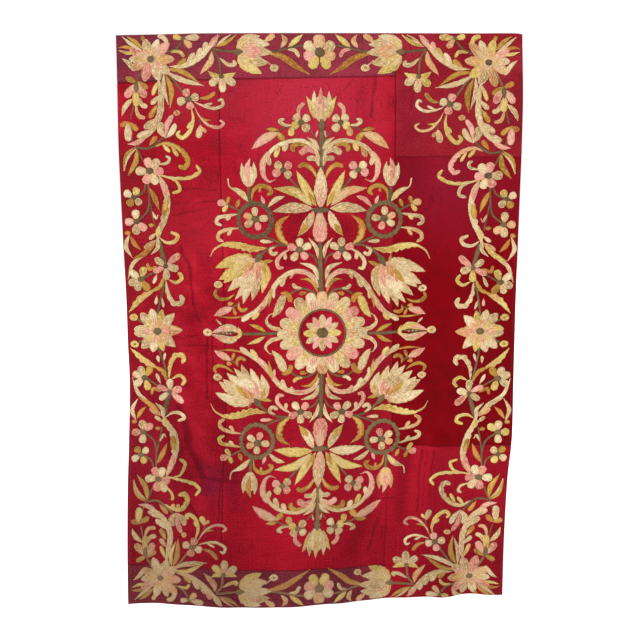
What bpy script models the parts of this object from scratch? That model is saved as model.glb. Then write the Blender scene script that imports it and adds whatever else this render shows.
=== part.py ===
"""An embroidered silk panel that hangs from its top edge, pieced from seven lengths of silk.

Each length of silk is its own solid. It is cut as a flat slab in the cloth's own sizes, where "across" runs
from the left edge to the right edge and "down" runs from the top edge to the hem. The slab is then hung:
every point is moved to where that point of the cloth lies in the uneven outline and in the folds.

Metres, +Z up. The front faces -Y. The origin is the middle of the top edge, halfway through the cloth.
"""

import math

import bmesh
import bpy
from mathutils import Matrix, Vector

# Driving sizes of the flat cloth
WIDTH = 1.32
LENGTH = 1.94
THICKNESS = 0.0018
SEAM_GAP = 0.0003
CELL_ACROSS = 0.031
CELL_DOWN = 0.036

# Where the seams run: the two upright ones across, and the level ones down at the left edge and at the right
LEFT_SEAM = -0.327
RIGHT_SEAM = 0.246
TOP_STRIP_SEAM = (0.152, 0.128)
UPPER_RIGHT_SEAM = (0.396, 0.396)
LOWER_RIGHT_SEAM = (1.384, 1.384)
BOTTOM_STRIP_SEAM = (1.797, 1.823)

ACROSS_STOPS = (-WIDTH / 2, LEFT_SEAM, RIGHT_SEAM, WIDTH / 2)
DOWN_STOPS = (
    (0.0, 0.0),
    TOP_STRIP_SEAM,
    UPPER_RIGHT_SEAM,
    LOWER_RIGHT_SEAM,
    BOTTOM_STRIP_SEAM,
    (LENGTH, LENGTH),
)

# The outline as it hangs: at each distance down, where the left and right edges are
SIDES = (
    # down, left, right
    (0.00, -0.662, 0.656),
    (0.18, -0.662, 0.663),
    (0.34, -0.661, 0.662),
    (0.50, -0.658, 0.660),
    (0.67, -0.654, 0.658),
    (0.87, -0.649, 0.656),
    (1.01, -0.648, 0.656),
    (1.15, -0.646, 0.656),
    (1.36, -0.655, 0.656),
    (1.50, -0.663, 0.645),
    (1.72, -0.671, 0.638),
    (1.94, -0.675, 0.637),
)

# How far the top edge drops below the level, and how far below the level the hem hangs
TOP_EDGE = (
    # across, drop
    (-0.66, 0.007),
    (-0.52, 0.004),
    (-0.39, 0.001),
    (0.00, 0.000),
    (0.50, 0.001),
    (0.64, 0.001),
    (0.66, 0.004),
)
HEM = (
    # across, depth below the origin
    (-0.66, 1.946),
    (-0.54, 1.942),
    (-0.42, 1.940),
    (-0.30, 1.955),
    (-0.20, 1.962),
    (-0.11, 1.957),
    (0.02, 1.938),
    (0.11, 1.937),
    (0.19, 1.932),
    (0.28, 1.919),
    (0.39, 1.910),
    (0.47, 1.919),
    (0.54, 1.909),
    (0.66, 1.905),
)

# The main folds. Each runs straight from one point to another, and stands proud by its height towards the
# viewer, or lies back where the height is negative
FOLDS = (
    # across, down, to across, to down, half width, height
    (-0.545, 0.700, -0.470, 0.735, 0.060, -0.007),
    (-0.470, 0.735, -0.420, 0.925, 0.065, -0.011),
    (-0.425, 0.760, -0.375, 0.950, 0.060, 0.009),
    (-0.520, 1.190, -0.470, 1.340, 0.065, -0.012),
    (-0.470, 1.340, -0.400, 1.480, 0.070, -0.014),
    (-0.545, 1.400, -0.480, 1.560, 0.075, 0.012),
    (-0.420, 1.230, -0.350, 1.430, 0.075, 0.010),
    (-0.445, 1.520, -0.410, 1.640, 0.055, -0.007),
    (-0.360, 1.540, -0.335, 1.650, 0.055, -0.007),
    (0.330, 1.380, 0.322, 1.620, 0.062, -0.014),
    (0.268, 1.360, 0.262, 1.640, 0.060, 0.010),
    (0.392, 1.380, 0.372, 1.600, 0.062, 0.010),
    (0.208, 1.600, 0.158, 1.745, 0.052, -0.008),
    (0.160, 1.590, 0.110, 1.730, 0.055, 0.006),
    (0.220, 0.150, 0.224, 0.420, 0.080, 0.010),
    (0.176, 0.130, 0.166, 0.270, 0.055, -0.006),
    (0.345, 0.300, 0.352, 0.460, 0.065, -0.009),
    (-0.580, 0.900, -0.560, 1.250, 0.090, 0.010),
    (0.520, 0.700, 0.540, 1.250, 0.110, 0.007),
)

# Long soft flutes that open from the middle of the cloth down to the hem
FLUTES = (
    # across, half width, height at the hem
    (-0.600, 0.130, -0.008),
    (-0.410, 0.170, 0.020),
    (-0.190, 0.150, -0.010),
    (0.010, 0.160, 0.016),
    (0.200, 0.130, -0.008),
    (0.370, 0.140, 0.014),
    (0.520, 0.100, -0.010),
    (0.640, 0.090, 0.010),
)
FLUTE_START = 0.90

# The cloth lies flat along its heading, and below that it swells a little from the wall
BELLY = 0.017
HEADING = 0.080
BELLY_END = 0.42

# The seven lengths of silk: which stops each one runs between, across and down
CRIMSON = (0.46, 0.008, 0.030)
DARK_CRIMSON = (0.25, 0.004, 0.016)
PLUM = (0.20, 0.012, 0.070)
PIECES = (
    # name, colour, first and last stop across, first and last stop down
    ("top_strip", PLUM, 0, 2, 0, 1),
    ("left_width", CRIMSON, 0, 1, 1, 4),
    ("centre_width", CRIMSON, 1, 2, 1, 4),
    ("right_top_piece", CRIMSON, 2, 3, 0, 2),
    ("right_middle_piece", DARK_CRIMSON, 2, 3, 2, 3),
    ("right_bottom_piece", CRIMSON, 2, 3, 3, 5),
    ("bottom_strip", PLUM, 0, 2, 4, 5),
)
SILK_ROUGHNESS = 0.42


def clear_scene():
    """Start from an empty scene."""
    for item in list(bpy.data.objects):
        bpy.data.objects.remove(item)


def smooth_step(value):
    """0 below 0, 1 above 1, and a smooth rise between."""
    value = min(1.0, max(0.0, value))
    return value * value * (3.0 - 2.0 * value)


def read_row(rows, at, column):
    """The value of one column of a table where its first column is "at", on a smooth curve through the rows."""
    last = len(rows) - 1
    after = next((n for n in range(1, last) if rows[n][0] >= at), last)
    before = after - 1
    span = rows[after][0] - rows[before][0]
    share = (at - rows[before][0]) / span
    ends = rows[before][column], rows[after][column]
    slopes = []
    for middle in (before, after):
        low, high = max(0, middle - 1), min(last, middle + 1)
        slopes.append((rows[high][column] - rows[low][column]) / (rows[high][0] - rows[low][0]) * span)
    return (
        ends[0] * (1 + 2 * share) * (1 - share) ** 2
        + slopes[0] * share * (1 - share) ** 2
        + ends[1] * share**2 * (3 - 2 * share)
        - slopes[1] * share**2 * (1 - share)
    )


def round_hill(distance, half_width):
    """1 on the line of a fold, falling smoothly to 0 at its half width."""
    share = min(1.0, distance / half_width)
    return (1.0 - share * share) ** 2


def relief(across, down):
    """How far the cloth stands out from the wall at one point of it."""
    out = BELLY * smooth_step((down - HEADING) / (BELLY_END - HEADING))
    here = Vector((across, down))
    for first_across, first_down, last_across, last_down, half_width, height in FOLDS:
        start = Vector((first_across, first_down))
        run = Vector((last_across, last_down)) - start
        along = min(1.0, max(0.0, (here - start).dot(run) / run.length_squared))
        out += height * round_hill((here - start - run * along).length, half_width)
    opening = smooth_step((down - FLUTE_START) / (LENGTH - FLUTE_START))
    for middle, half_width, height in FLUTES:
        out += height * opening * round_hill(abs(across - middle), half_width)
    return max(0.0, out)


def hang(across, down, depth):
    """Where a point of the flat cloth lies once the panel hangs. Depth counts from the middle of the cloth."""
    share = across / WIDTH + 0.5
    left = read_row(SIDES, down, 1)
    right = read_row(SIDES, down, 2)
    lower = down / LENGTH
    drop = read_row(TOP_EDGE, across, 1) * (1.0 - lower)
    sag = (read_row(HEM, across, 1) - LENGTH) * lower**2
    return Vector((left + (right - left) * share, depth - relief(across, down), -(down + drop + sag)))


def lines_between(stops, first, last, cell):
    """Places from one stop to another, each stretch between two stops cut into equal cells."""
    places = [stops[first]]
    for n in range(first, last):
        count = math.ceil((stops[n + 1] - stops[n]) / cell)
        places += [stops[n] + (stops[n + 1] - stops[n]) * (k + 1) / count for k in range(count)]
    return places


def row_down(ends, across):
    """How far down a level line of the cloth is at one place across, where its two ends may differ."""
    return ends[0] + (ends[1] - ends[0]) * (across / WIDTH + 0.5)


def silk_material(name, colour):
    """A plain silk with a soft lustre."""
    silk = bpy.data.materials.new(name + "_silk")
    silk.use_nodes = True
    shader = silk.node_tree.nodes["Principled BSDF"]
    shader.inputs["Base Color"].default_value = (*colour, 1.0)
    shader.inputs["Roughness"].default_value = SILK_ROUGHNESS
    shader.inputs["Metallic"].default_value = 0.0
    return silk


def silk_piece(name, colour, first_across, last_across, first_down, last_down, collection):
    """One length of silk: a flat slab cut to its seams, then hung in the panel's outline and folds."""
    columns = lines_between(ACROSS_STOPS, first_across, last_across, CELL_ACROSS)
    at_left = [stop[0] for stop in DOWN_STOPS]
    level_rows = lines_between(at_left, first_down, last_down, CELL_DOWN)
    at_right = [stop[1] for stop in DOWN_STOPS]
    rows = [(low, read_row(tuple(zip(at_left, at_right)), low, 1)) for low in level_rows]

    cloth = bmesh.new()
    wide, high = len(columns) - 1, len(rows) - 1
    bmesh.ops.create_grid(cloth, x_segments=wide, y_segments=high, size=0.5)
    bmesh.ops.rotate(cloth, verts=cloth.verts, matrix=Matrix.Rotation(math.radians(90), 3, "X"))
    bmesh.ops.solidify(cloth, geom=cloth.faces[:], thickness=THICKNESS)
    middle = sum(point.co.y for point in cloth.verts) / len(cloth.verts)

    half_gap = SEAM_GAP / 2
    for point in cloth.verts:
        column = round((point.co.x + 0.5) * wide)
        row = round((0.5 - point.co.z) * high)
        across = columns[column]
        down = row_down(rows[row], across)
        across += half_gap * ((column == 0 and first_across > 0) - (column == wide))
        down += half_gap * ((row == 0 and first_down > 0) - (row == high))
        point.co = hang(across, down, math.copysign(THICKNESS / 2, point.co.y - middle))
    bmesh.ops.recalc_face_normals(cloth, faces=cloth.faces[:])

    mesh = bpy.data.meshes.new(name)
    cloth.to_mesh(mesh)
    cloth.free()
    mesh.shade_smooth()
    mesh.set_sharp_from_angle(angle=math.radians(50))
    mesh.materials.append(silk_material(name, colour))
    piece = bpy.data.objects.new(name, mesh)
    collection.objects.link(piece)
    return piece


def build_panel():
    """All seven lengths of silk, parented to one empty at the top edge."""
    clear_scene()
    collection = bpy.data.collections.new("embroidered_silk_panel")
    bpy.context.scene.collection.children.link(collection)
    top_edge = bpy.data.objects.new("top_edge", None)
    collection.objects.link(top_edge)
    for row in PIECES:
        piece = silk_piece(*row, collection)
        piece.parent = top_edge


build_panel()
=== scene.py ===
# %% [markdown]
# # An embroidered silk panel
# The real object is a wall hanging: seven lengths of red and plum silk sewn together, and worked all over
# in silk thread with flowers, leaves and scrolls. It hangs from its top edge and falls in soft folds. The
# solids of the panel are already packed. This script loads them as a fixed frame, then lays fine cloth
# where they are and sews the embroidery on it.

# %% Load the frame
import math

import bpy
import numpy as np
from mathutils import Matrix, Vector


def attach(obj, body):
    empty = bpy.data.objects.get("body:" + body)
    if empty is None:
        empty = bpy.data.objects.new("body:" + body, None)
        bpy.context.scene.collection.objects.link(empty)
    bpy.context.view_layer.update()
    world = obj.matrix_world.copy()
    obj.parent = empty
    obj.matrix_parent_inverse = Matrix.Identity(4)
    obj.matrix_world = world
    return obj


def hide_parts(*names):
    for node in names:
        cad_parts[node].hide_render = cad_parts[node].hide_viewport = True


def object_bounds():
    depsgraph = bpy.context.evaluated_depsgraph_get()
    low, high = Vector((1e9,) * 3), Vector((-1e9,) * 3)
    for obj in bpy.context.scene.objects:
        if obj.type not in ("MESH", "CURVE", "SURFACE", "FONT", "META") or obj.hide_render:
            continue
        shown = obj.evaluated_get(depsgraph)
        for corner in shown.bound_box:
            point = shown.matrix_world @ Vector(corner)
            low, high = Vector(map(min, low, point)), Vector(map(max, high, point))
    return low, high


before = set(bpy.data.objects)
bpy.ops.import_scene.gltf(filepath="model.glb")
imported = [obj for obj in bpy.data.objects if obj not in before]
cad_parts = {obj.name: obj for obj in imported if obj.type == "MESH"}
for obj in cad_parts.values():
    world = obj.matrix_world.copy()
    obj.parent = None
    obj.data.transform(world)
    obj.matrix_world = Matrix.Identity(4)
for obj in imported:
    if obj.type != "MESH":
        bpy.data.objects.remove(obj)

CAD_BOX = [list(corner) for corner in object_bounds()]
print("nodes:", sorted(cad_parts))

# %% [markdown]
# ## Camera, floor and light
# The picture was taken from a little over three metres, from about the height of the panel's upper third,
# and looks slightly down. A plain pale floor lies just under the hem. The room is white behind the panel
# and dimmer in front of it. A broad light comes from the upper left, so that folds and raised stitches are
# shaded on their right side, and a weaker one comes from behind.

# %% Camera
EYE = Vector((0.0, -3.105, -0.508))
AIM = Vector((0.0, 0.0, -0.939))
LENS = 52.17
SENSOR = 36.0

camera_data = bpy.data.cameras.new("camera")
camera_data.lens = LENS
camera_data.sensor_width = SENSOR
camera = bpy.data.objects.new("camera", camera_data)
camera.location = EYE
camera.rotation_euler = (AIM - EYE).to_track_quat("-Z", "Y").to_euler()
bpy.context.scene.collection.objects.link(camera)
bpy.context.scene.camera = camera
bpy.context.scene.view_settings.view_transform = "Standard"

# %% Floor
FLOOR_BELOW_HEM = 0.06
FLOOR_SIZE = 30.0
FLOOR_COLOUR = (0.86, 0.86, 0.85, 1)
FLOOR_ROUGHNESS = 0.9
FLOOR_GLOW = 0.45

bpy.ops.mesh.primitive_plane_add(size=FLOOR_SIZE, location=(0, 0, CAD_BOX[0][2] - FLOOR_BELOW_HEM))
floor = bpy.context.object
floor.name = "floor"
floor_material = bpy.data.materials.new("pale_floor")
floor_material.use_nodes = True
floor_shader = floor_material.node_tree.nodes["Principled BSDF"]
floor_shader.inputs["Base Color"].default_value = FLOOR_COLOUR
floor_shader.inputs["Roughness"].default_value = FLOOR_ROUGHNESS
floor_shader.inputs["Emission Color"].default_value = (1.0, 1.0, 1.0, 1)
floor_shader.inputs["Emission Strength"].default_value = FLOOR_GLOW
floor.data.materials.append(floor_material)

# %% Lights
KEY_FROM = Vector((-2.2, -1.7, 1.6))
KEY_STRENGTH = 2.9
KEY_SPREAD = 22
BACK_FROM = Vector((1.5, 2.5, 1.2))
BACK_STRENGTH = 0.8
ROOM_BEHIND, ROOM_IN_FRONT = 1.0, 0.42
DIM_UP_TO, WHITE_FROM = -0.25, 0.05

for name, place, strength in (("key", KEY_FROM, KEY_STRENGTH), ("back", BACK_FROM, BACK_STRENGTH)):
    light = bpy.data.lights.new(name, "SUN")
    light.energy = strength
    light.angle = math.radians(KEY_SPREAD)
    lamp = bpy.data.objects.new(name, light)
    lamp.rotation_euler = (-place).to_track_quat("-Z", "Y").to_euler()
    bpy.context.scene.collection.objects.link(lamp)

world = bpy.data.worlds.new("studio")
world.use_nodes = True
nodes, links = world.node_tree.nodes, world.node_tree.links
towards = nodes.new("ShaderNodeTexCoord")
parts = nodes.new("ShaderNodeSeparateXYZ")
room = nodes.new("ShaderNodeMapRange")
room.inputs["From Min"].default_value = DIM_UP_TO
room.inputs["From Max"].default_value = WHITE_FROM
room.inputs["To Min"].default_value = ROOM_IN_FRONT
room.inputs["To Max"].default_value = ROOM_BEHIND
links.new(towards.outputs["Generated"], parts.inputs[0])
links.new(parts.outputs["Y"], room.inputs["Value"])
links.new(room.outputs["Result"], nodes["Background"].inputs["Strength"])
nodes["Background"].inputs["Color"].default_value = (1.0, 1.0, 1.0, 1)
bpy.context.scene.world = world

# %% [markdown]
# ## The cloth's own sizes
# A maker thinks of the cloth laid flat: "across" from the middle, and "down" from the top edge. The same
# tables that shape the solids say here where each point of the flat cloth lies once the panel hangs.
# Everything that is sewn on the silk is drawn flat too, and then passes through the same function, so it
# follows every fold.

# %% Sizes and tables of the hanging cloth
WIDTH = 1.32
LENGTH = 1.94
LEFT_SEAM = -0.327
RIGHT_SEAM = 0.246
TOP_STRIP_SEAM = (0.152, 0.128)
UPPER_RIGHT_SEAM = (0.396, 0.396)
LOWER_RIGHT_SEAM = (1.384, 1.384)
BOTTOM_STRIP_SEAM = (1.797, 1.823)
ACROSS_STOPS = (-WIDTH / 2, LEFT_SEAM, RIGHT_SEAM, WIDTH / 2)
DOWN_STOPS = (
    (0.0, 0.0),
    TOP_STRIP_SEAM,
    UPPER_RIGHT_SEAM,
    LOWER_RIGHT_SEAM,
    BOTTOM_STRIP_SEAM,
    (LENGTH, LENGTH),
)
SIDES = np.array((
    # down, left, right
    (0.00, -0.662, 0.656),
    (0.18, -0.662, 0.663),
    (0.34, -0.661, 0.662),
    (0.50, -0.658, 0.660),
    (0.67, -0.654, 0.658),
    (0.87, -0.649, 0.656),
    (1.01, -0.648, 0.656),
    (1.15, -0.646, 0.656),
    (1.36, -0.655, 0.656),
    (1.50, -0.663, 0.645),
    (1.72, -0.671, 0.638),
    (1.94, -0.675, 0.637),
))
TOP_EDGE = np.array((
    # across, drop
    (-0.66, 0.007),
    (-0.52, 0.004),
    (-0.39, 0.001),
    (0.00, 0.000),
    (0.50, 0.001),
    (0.64, 0.001),
    (0.66, 0.004),
))
HEM = np.array((
    # across, depth below the origin
    (-0.66, 1.946),
    (-0.54, 1.942),
    (-0.42, 1.940),
    (-0.30, 1.955),
    (-0.20, 1.962),
    (-0.11, 1.957),
    (0.02, 1.938),
    (0.11, 1.937),
    (0.19, 1.932),
    (0.28, 1.919),
    (0.39, 1.910),
    (0.47, 1.919),
    (0.54, 1.909),
    (0.66, 1.905),
))
FOLDS = (
    # across, down, to across, to down, half width, height
    (-0.545, 0.700, -0.470, 0.735, 0.060, -0.007),
    (-0.470, 0.735, -0.420, 0.925, 0.065, -0.011),
    (-0.425, 0.760, -0.375, 0.950, 0.060, 0.009),
    (-0.520, 1.190, -0.470, 1.340, 0.065, -0.012),
    (-0.470, 1.340, -0.400, 1.480, 0.070, -0.014),
    (-0.545, 1.400, -0.480, 1.560, 0.075, 0.012),
    (-0.420, 1.230, -0.350, 1.430, 0.075, 0.010),
    (-0.445, 1.520, -0.410, 1.640, 0.055, -0.007),
    (-0.360, 1.540, -0.335, 1.650, 0.055, -0.007),
    (0.330, 1.380, 0.322, 1.620, 0.062, -0.014),
    (0.268, 1.360, 0.262, 1.640, 0.060, 0.010),
    (0.392, 1.380, 0.372, 1.600, 0.062, 0.010),
    (0.208, 1.600, 0.158, 1.745, 0.052, -0.008),
    (0.160, 1.590, 0.110, 1.730, 0.055, 0.006),
    (0.220, 0.150, 0.224, 0.420, 0.080, 0.010),
    (0.176, 0.130, 0.166, 0.270, 0.055, -0.006),
    (0.345, 0.300, 0.352, 0.460, 0.065, -0.009),
    (-0.580, 0.900, -0.560, 1.250, 0.090, 0.010),
    (0.520, 0.700, 0.540, 1.250, 0.110, 0.007),
)
FLUTES = (
    # across, half width, height at the hem
    (-0.600, 0.130, -0.008),
    (-0.410, 0.170, 0.020),
    (-0.190, 0.150, -0.010),
    (0.010, 0.160, 0.016),
    (0.200, 0.130, -0.008),
    (0.370, 0.140, 0.014),
    (0.520, 0.100, -0.010),
    (0.640, 0.090, 0.010),
)
FLUTE_START = 0.90
BELLY = 0.017
HEADING = 0.080
BELLY_END = 0.42

# %% Seams
SEAM_DIP = 0.0011
SEAM_HALF_WIDTH = 0.0065


# %% Where a point of the flat cloth lies
def smooth_step(value):
    """0 below 0, 1 above 1, and a smooth rise between."""
    value = np.clip(value, 0.0, 1.0)
    return value * value * (3.0 - 2.0 * value)


def read_row(rows, at, column):
    """One column of a table, where its first column is "at", on a smooth curve through the rows."""
    places, values = rows[:, 0], rows[:, column]
    middle = (values[2:] - values[:-2]) / (places[2:] - places[:-2])
    first = (values[1] - values[0]) / (places[1] - places[0])
    final = (values[-1] - values[-2]) / (places[-1] - places[-2])
    slopes = np.concatenate(([first], middle, [final]))
    after = np.clip(np.searchsorted(places, at), 1, len(rows) - 1)
    before = after - 1
    span = places[after] - places[before]
    share = (at - places[before]) / span
    return (
        values[before] * (1 + 2 * share) * (1 - share) ** 2
        + slopes[before] * span * share * (1 - share) ** 2
        + values[after] * share**2 * (3 - 2 * share)
        - slopes[after] * span * share**2 * (1 - share)
    )


def round_hill(distance, half_width):
    """1 on the line of a fold, falling smoothly to 0 at its half width."""
    share = np.minimum(1.0, distance / half_width)
    return (1.0 - share * share) ** 2


def ridges(rows, across, down):
    """The height of all the folds or creases of one table."""
    out = np.zeros(np.broadcast(across, down).shape)
    for first_across, first_down, last_across, last_down, half_width, height in rows:
        run_across, run_down = last_across - first_across, last_down - first_down
        along = (across - first_across) * run_across + (down - first_down) * run_down
        along = np.clip(along / (run_across**2 + run_down**2), 0.0, 1.0)
        gap = np.hypot(across - first_across - along * run_across, down - first_down - along * run_down)
        out += height * round_hill(gap, half_width)
    return out


def level_line(ends, across):
    """How far down a level line of the cloth is at one place across, where its two ends may differ."""
    return ends[0] + (ends[1] - ends[0]) * (across / WIDTH + 0.5)


def relief(across, down):
    """How far the cloth stands out from the wall, with its creases and its seams."""
    out = BELLY * smooth_step((down - HEADING) / (BELLY_END - HEADING)) + ridges(FOLDS, across, down)
    opening = smooth_step((down - FLUTE_START) / (LENGTH - FLUTE_START))
    for middle, half_width, height in FLUTES:
        out += height * opening * round_hill(np.abs(across - middle), half_width)
    out = np.maximum(out, 0.0)

    top, bottom = level_line(TOP_STRIP_SEAM, across), level_line(BOTTOM_STRIP_SEAM, across)
    from_left = np.where((down > top) & (down < bottom), np.abs(across - LEFT_SEAM), 1.0)
    from_right = np.abs(across - RIGHT_SEAM)
    from_strips = np.where(across < RIGHT_SEAM, np.minimum(np.abs(down - top), np.abs(down - bottom)), 1.0)
    from_joins = np.minimum(np.abs(down - UPPER_RIGHT_SEAM[0]), np.abs(down - LOWER_RIGHT_SEAM[0]))
    from_joins = np.where(across > RIGHT_SEAM, from_joins, 1.0)
    nearest = np.minimum(np.minimum(from_left, from_right), np.minimum(from_strips, from_joins))
    return out - SEAM_DIP * round_hill(nearest, SEAM_HALF_WIDTH)


def hang(across, down, depth):
    """Where points of the flat cloth lie once the panel hangs. Depth counts from the middle of the cloth."""
    share = across / WIDTH + 0.5
    left, right = read_row(SIDES, down, 1), read_row(SIDES, down, 2)
    lower = down / LENGTH
    drop = read_row(TOP_EDGE, across, 1) * (1.0 - lower)
    sag = (read_row(HEM, across, 1) - LENGTH) * lower**2
    hung = (left + (right - left) * share, depth - relief(across, down), -(down + drop + sag))
    return np.stack(hung, axis=-1)


print("relief in the middle of the hem: %.4f m" % relief(np.array([0.0]), np.array([LENGTH]))[0])

# %% [markdown]
# ## Writing materials as sums
# A shader is a set of nodes. To keep it readable, one small class wraps a socket, so that sums on sockets
# add the Math nodes by themselves. Any other node comes from one method.


# %% Sums on sockets
class Field:
    """A socket of a node tree. Sums on it add Math nodes."""

    def __init__(self, tree, socket=None):
        self.tree = tree
        self.socket = socket

    def node(self, kind, settings=None, inputs=None, out=0):
        """Any node, from its type, its settings, what goes into its sockets, and the output to read."""
        made = self.tree.nodes.new(kind)
        for name, value in (settings or {}).items():
            setattr(made, name, value)
        for key, value in (inputs or {}).items():
            if isinstance(value, Field):
                self.tree.links.new(value.socket, made.inputs[key])
            else:
                made.inputs[key].default_value = value
        return Field(self.tree, made.outputs[out])

    def math(self, operation, *values):
        """A Math node of this socket and any other values."""
        return self.node("ShaderNodeMath", {"operation": operation}, dict(enumerate((self, *values))))

    def vector(self, operation, other, out=0):
        """A Vector Math node of this socket and one other value."""
        return self.node("ShaderNodeVectorMath", {"operation": operation}, {0: self, 1: other}, out)

    def part(self, vector, number):
        """One of the three numbers of a vector."""
        return self.node("ShaderNodeSeparateXYZ", None, {0: vector}, out=number)

    def __add__(self, other):
        return self.math("ADD", other)

    def __sub__(self, other):
        return self.math("SUBTRACT", other)

    def __rsub__(self, other):
        return self * -1.0 + other

    def __mul__(self, other):
        return self.math("MULTIPLY", other)

    def __truediv__(self, other):
        return self.math("DIVIDE", other)

    def __abs__(self):
        return self.math("ABSOLUTE")

    __radd__ = __add__
    __rmul__ = __mul__

    def ramp(self, low, high):
        """0 below low, 1 above high, and a smooth rise between."""
        limits = {"Value": self, "From Min": low, "From Max": high}
        return self.node("ShaderNodeMapRange", {"interpolation_type": "SMOOTHSTEP"}, limits)

    def blend(self, first, second):
        """The first colour where this is 0, the second where it is 1."""
        return self.node("ShaderNodeMix", {"data_type": "RGBA"}, {0: self, 6: first, 7: second}, out=2)

    def noise(self, place, stretch, detail=2.0):
        """Soft noise from 0 to 1. Stretch is how many times it repeats in a metre, along each axis."""
        scaled = self.node("ShaderNodeMapping", None, {"Vector": place, "Scale": stretch})
        return self.node("ShaderNodeTexNoise", None, {"Vector": scaled, "Scale": 1.0, "Detail": detail})

    def bump(self, depth, strength=1.0, under=None):
        """A bump of this height, over another one where that is given."""
        inputs = {"Height": self, "Strength": strength, "Distance": depth}
        if under is not None:
            inputs["Normal"] = under
        return self.node("ShaderNodeBump", None, inputs)


def dye(code):
    """A colour of the palette, from its web code to the linear light that shaders use."""
    parts = [int(code[n : n + 2], 16) / 255 for n in (1, 3, 5)]
    return (*[p / 12.92 if p <= 0.04045 else ((p + 0.055) / 1.055) ** 2.4 for p in parts], 1.0)


def new_material(name):
    """An empty material with its shader, and a field to start sums from."""
    material = bpy.data.materials.new(name)
    material.use_nodes = True
    return material, material.node_tree.nodes["Principled BSDF"], Field(material.node_tree)


def link(field, shader, socket):
    """Link a field to one socket of a shader."""
    field.tree.links.new(field.socket, shader.inputs[socket])


# %% [markdown]
# ## Silk for the ground
# The ground is a plain weave with a soft lustre. Hand-reeled thread is uneven, so the cloth has faint
# streaks both ways. Old dye has faded in some places and stayed deep in others, and a short table says
# where; one dark patch in it, beside a crease at the lower left, is partly stain and partly painted shade.
# Painted shade darkens the silk towards the foot. The cloth was kept folded, which left sharp creases: they
# are too fine for the mesh, so the material draws each from a row of a table, as a bump and a line of
# painted shade, and random crumples get the same. The sewn seams are drawn in the same way, along the
# shallow dip that the mesh has there, as a dark line that is partly the seam and partly painted shade.
# All of it is laid out by a UV map in the cloth's own metres.

# %% Silk colours
SILKS = {
    # name: (colour, faded, deep, painted shade at the foot of the panel, also used for the darker streaks)
    "crimson_silk": ("#961020", "#A81A2C", "#7C0C1A", "#640612"),
    "mauve_crimson_silk": ("#861A24", "#922430", "#781420", "#640612"),
    "dark_crimson_silk": ("#74040C", "#7E0410", "#64040A", "#64040A"),
    "plum_silk": ("#7A2E38", "#943242", "#602A38", "#3E1216"),
}
DYE_AND_SHADE_PATCHES = {
    "crimson_silk": (
        # across, down, reach, colour, strength
        (-0.04, 0.20, 0.40, "#B22E42", 0.80),
        (-0.42, 0.16, 0.22, "#A02C38", 0.60),
        (-0.70, 0.60, 0.44, "#6E181C", 0.85),
        (-0.62, 1.00, 0.26, "#70121E", 0.60),
        (-0.34, 0.62, 0.24, "#AC2030", 0.60),
        (0.20, 0.72, 0.32, "#701018", 0.70),
        (0.20, 1.10, 0.30, "#6C101A", 0.70),
        (-0.10, 1.62, 0.34, "#A81226", 0.40),
        (-0.72, 1.42, 0.46, "#5E121E", 0.80),
        (-0.58, 1.88, 0.36, "#4A1218", 0.60),
        (0.66, 1.80, 0.34, "#5E0E14", 0.50),
        (0.34, 1.46, 0.34, "#961224", 0.70),
        # a dark plum patch beside the level crease at the lower left: partly stain, partly painted shade of
        # the fold
        (-0.36, 1.52, 0.09, "#56102A", 0.75),
    ),
    "mauve_crimson_silk": (
        (0.28, 0.24, 0.22, "#8A1A2C", 0.60),
        (0.64, 0.20, 0.22, "#721A20", 0.60),
    ),
    "dark_crimson_silk": (
        (0.66, 1.10, 0.40, "#620810", 0.50),
        (0.44, 0.46, 0.38, "#82182C", 0.80),
    ),
    "plum_silk": (
        (-0.22, 0.12, 0.24, "#9C2A3E", 0.60),
        (0.16, 0.12, 0.16, "#8C283E", 0.50),
        (-0.60, 0.02, 0.20, "#5A1A34", 0.50),
    ),
}
CREASES = (
    # across, down, to across, to down, half width, darkness of the painted shade and depth of the bump
    (-0.500, 0.497, -0.345, 0.502, 0.0050, 0.7),
    (-0.500, 0.540, -0.345, 0.543, 0.0050, 0.8),
    (-0.495, 0.586, -0.350, 0.560, 0.0045, 0.6),
    (-0.470, 0.690, -0.440, 0.760, 0.0070, 0.9),
    (-0.440, 0.760, -0.432, 0.880, 0.0065, 1.0),
    (-0.432, 0.880, -0.410, 0.960, 0.0060, 0.8),
    (-0.520, 0.990, -0.345, 0.992, 0.0045, 0.7),
    (-0.480, 1.020, -0.350, 1.024, 0.0045, 0.7),
    (-0.388, 1.000, -0.390, 1.200, 0.0060, 1.0),
    (-0.369, 1.000, -0.371, 1.200, 0.0050, 0.8),
    (-0.490, 1.230, -0.455, 1.350, 0.0150, 1.0),
    (-0.455, 1.350, -0.400, 1.480, 0.0150, 1.0),
    (-0.440, 1.484, -0.240, 1.487, 0.0070, 0.9),
    (-0.470, 1.535, -0.395, 1.640, 0.0080, 1.0),
    (-0.335, 1.490, -0.340, 1.640, 0.0050, 0.8),
    (0.305, 0.180, 0.298, 0.245, 0.0050, 0.6),
    (0.182, 0.135, 0.168, 0.265, 0.0065, 0.8),
    (0.355, 1.400, 0.352, 1.620, 0.0060, 0.9),
    (0.372, 1.400, 0.370, 1.600, 0.0045, 0.6),
    (0.395, 1.400, 0.392, 1.560, 0.0050, 0.7),
    (0.225, 1.610, 0.188, 1.755, 0.0060, 0.9),
    (0.080, 0.180, 0.105, 0.150, 0.0050, 0.5),
    (0.196, 1.565, 0.272, 1.565, 0.0040, 0.7),
)
CREASE_DEPTH = 0.0020
THREAD_DEPTH = 0.0006
CREASE_FADE = 1.35
PATCH_STRAY = 0.3
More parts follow.
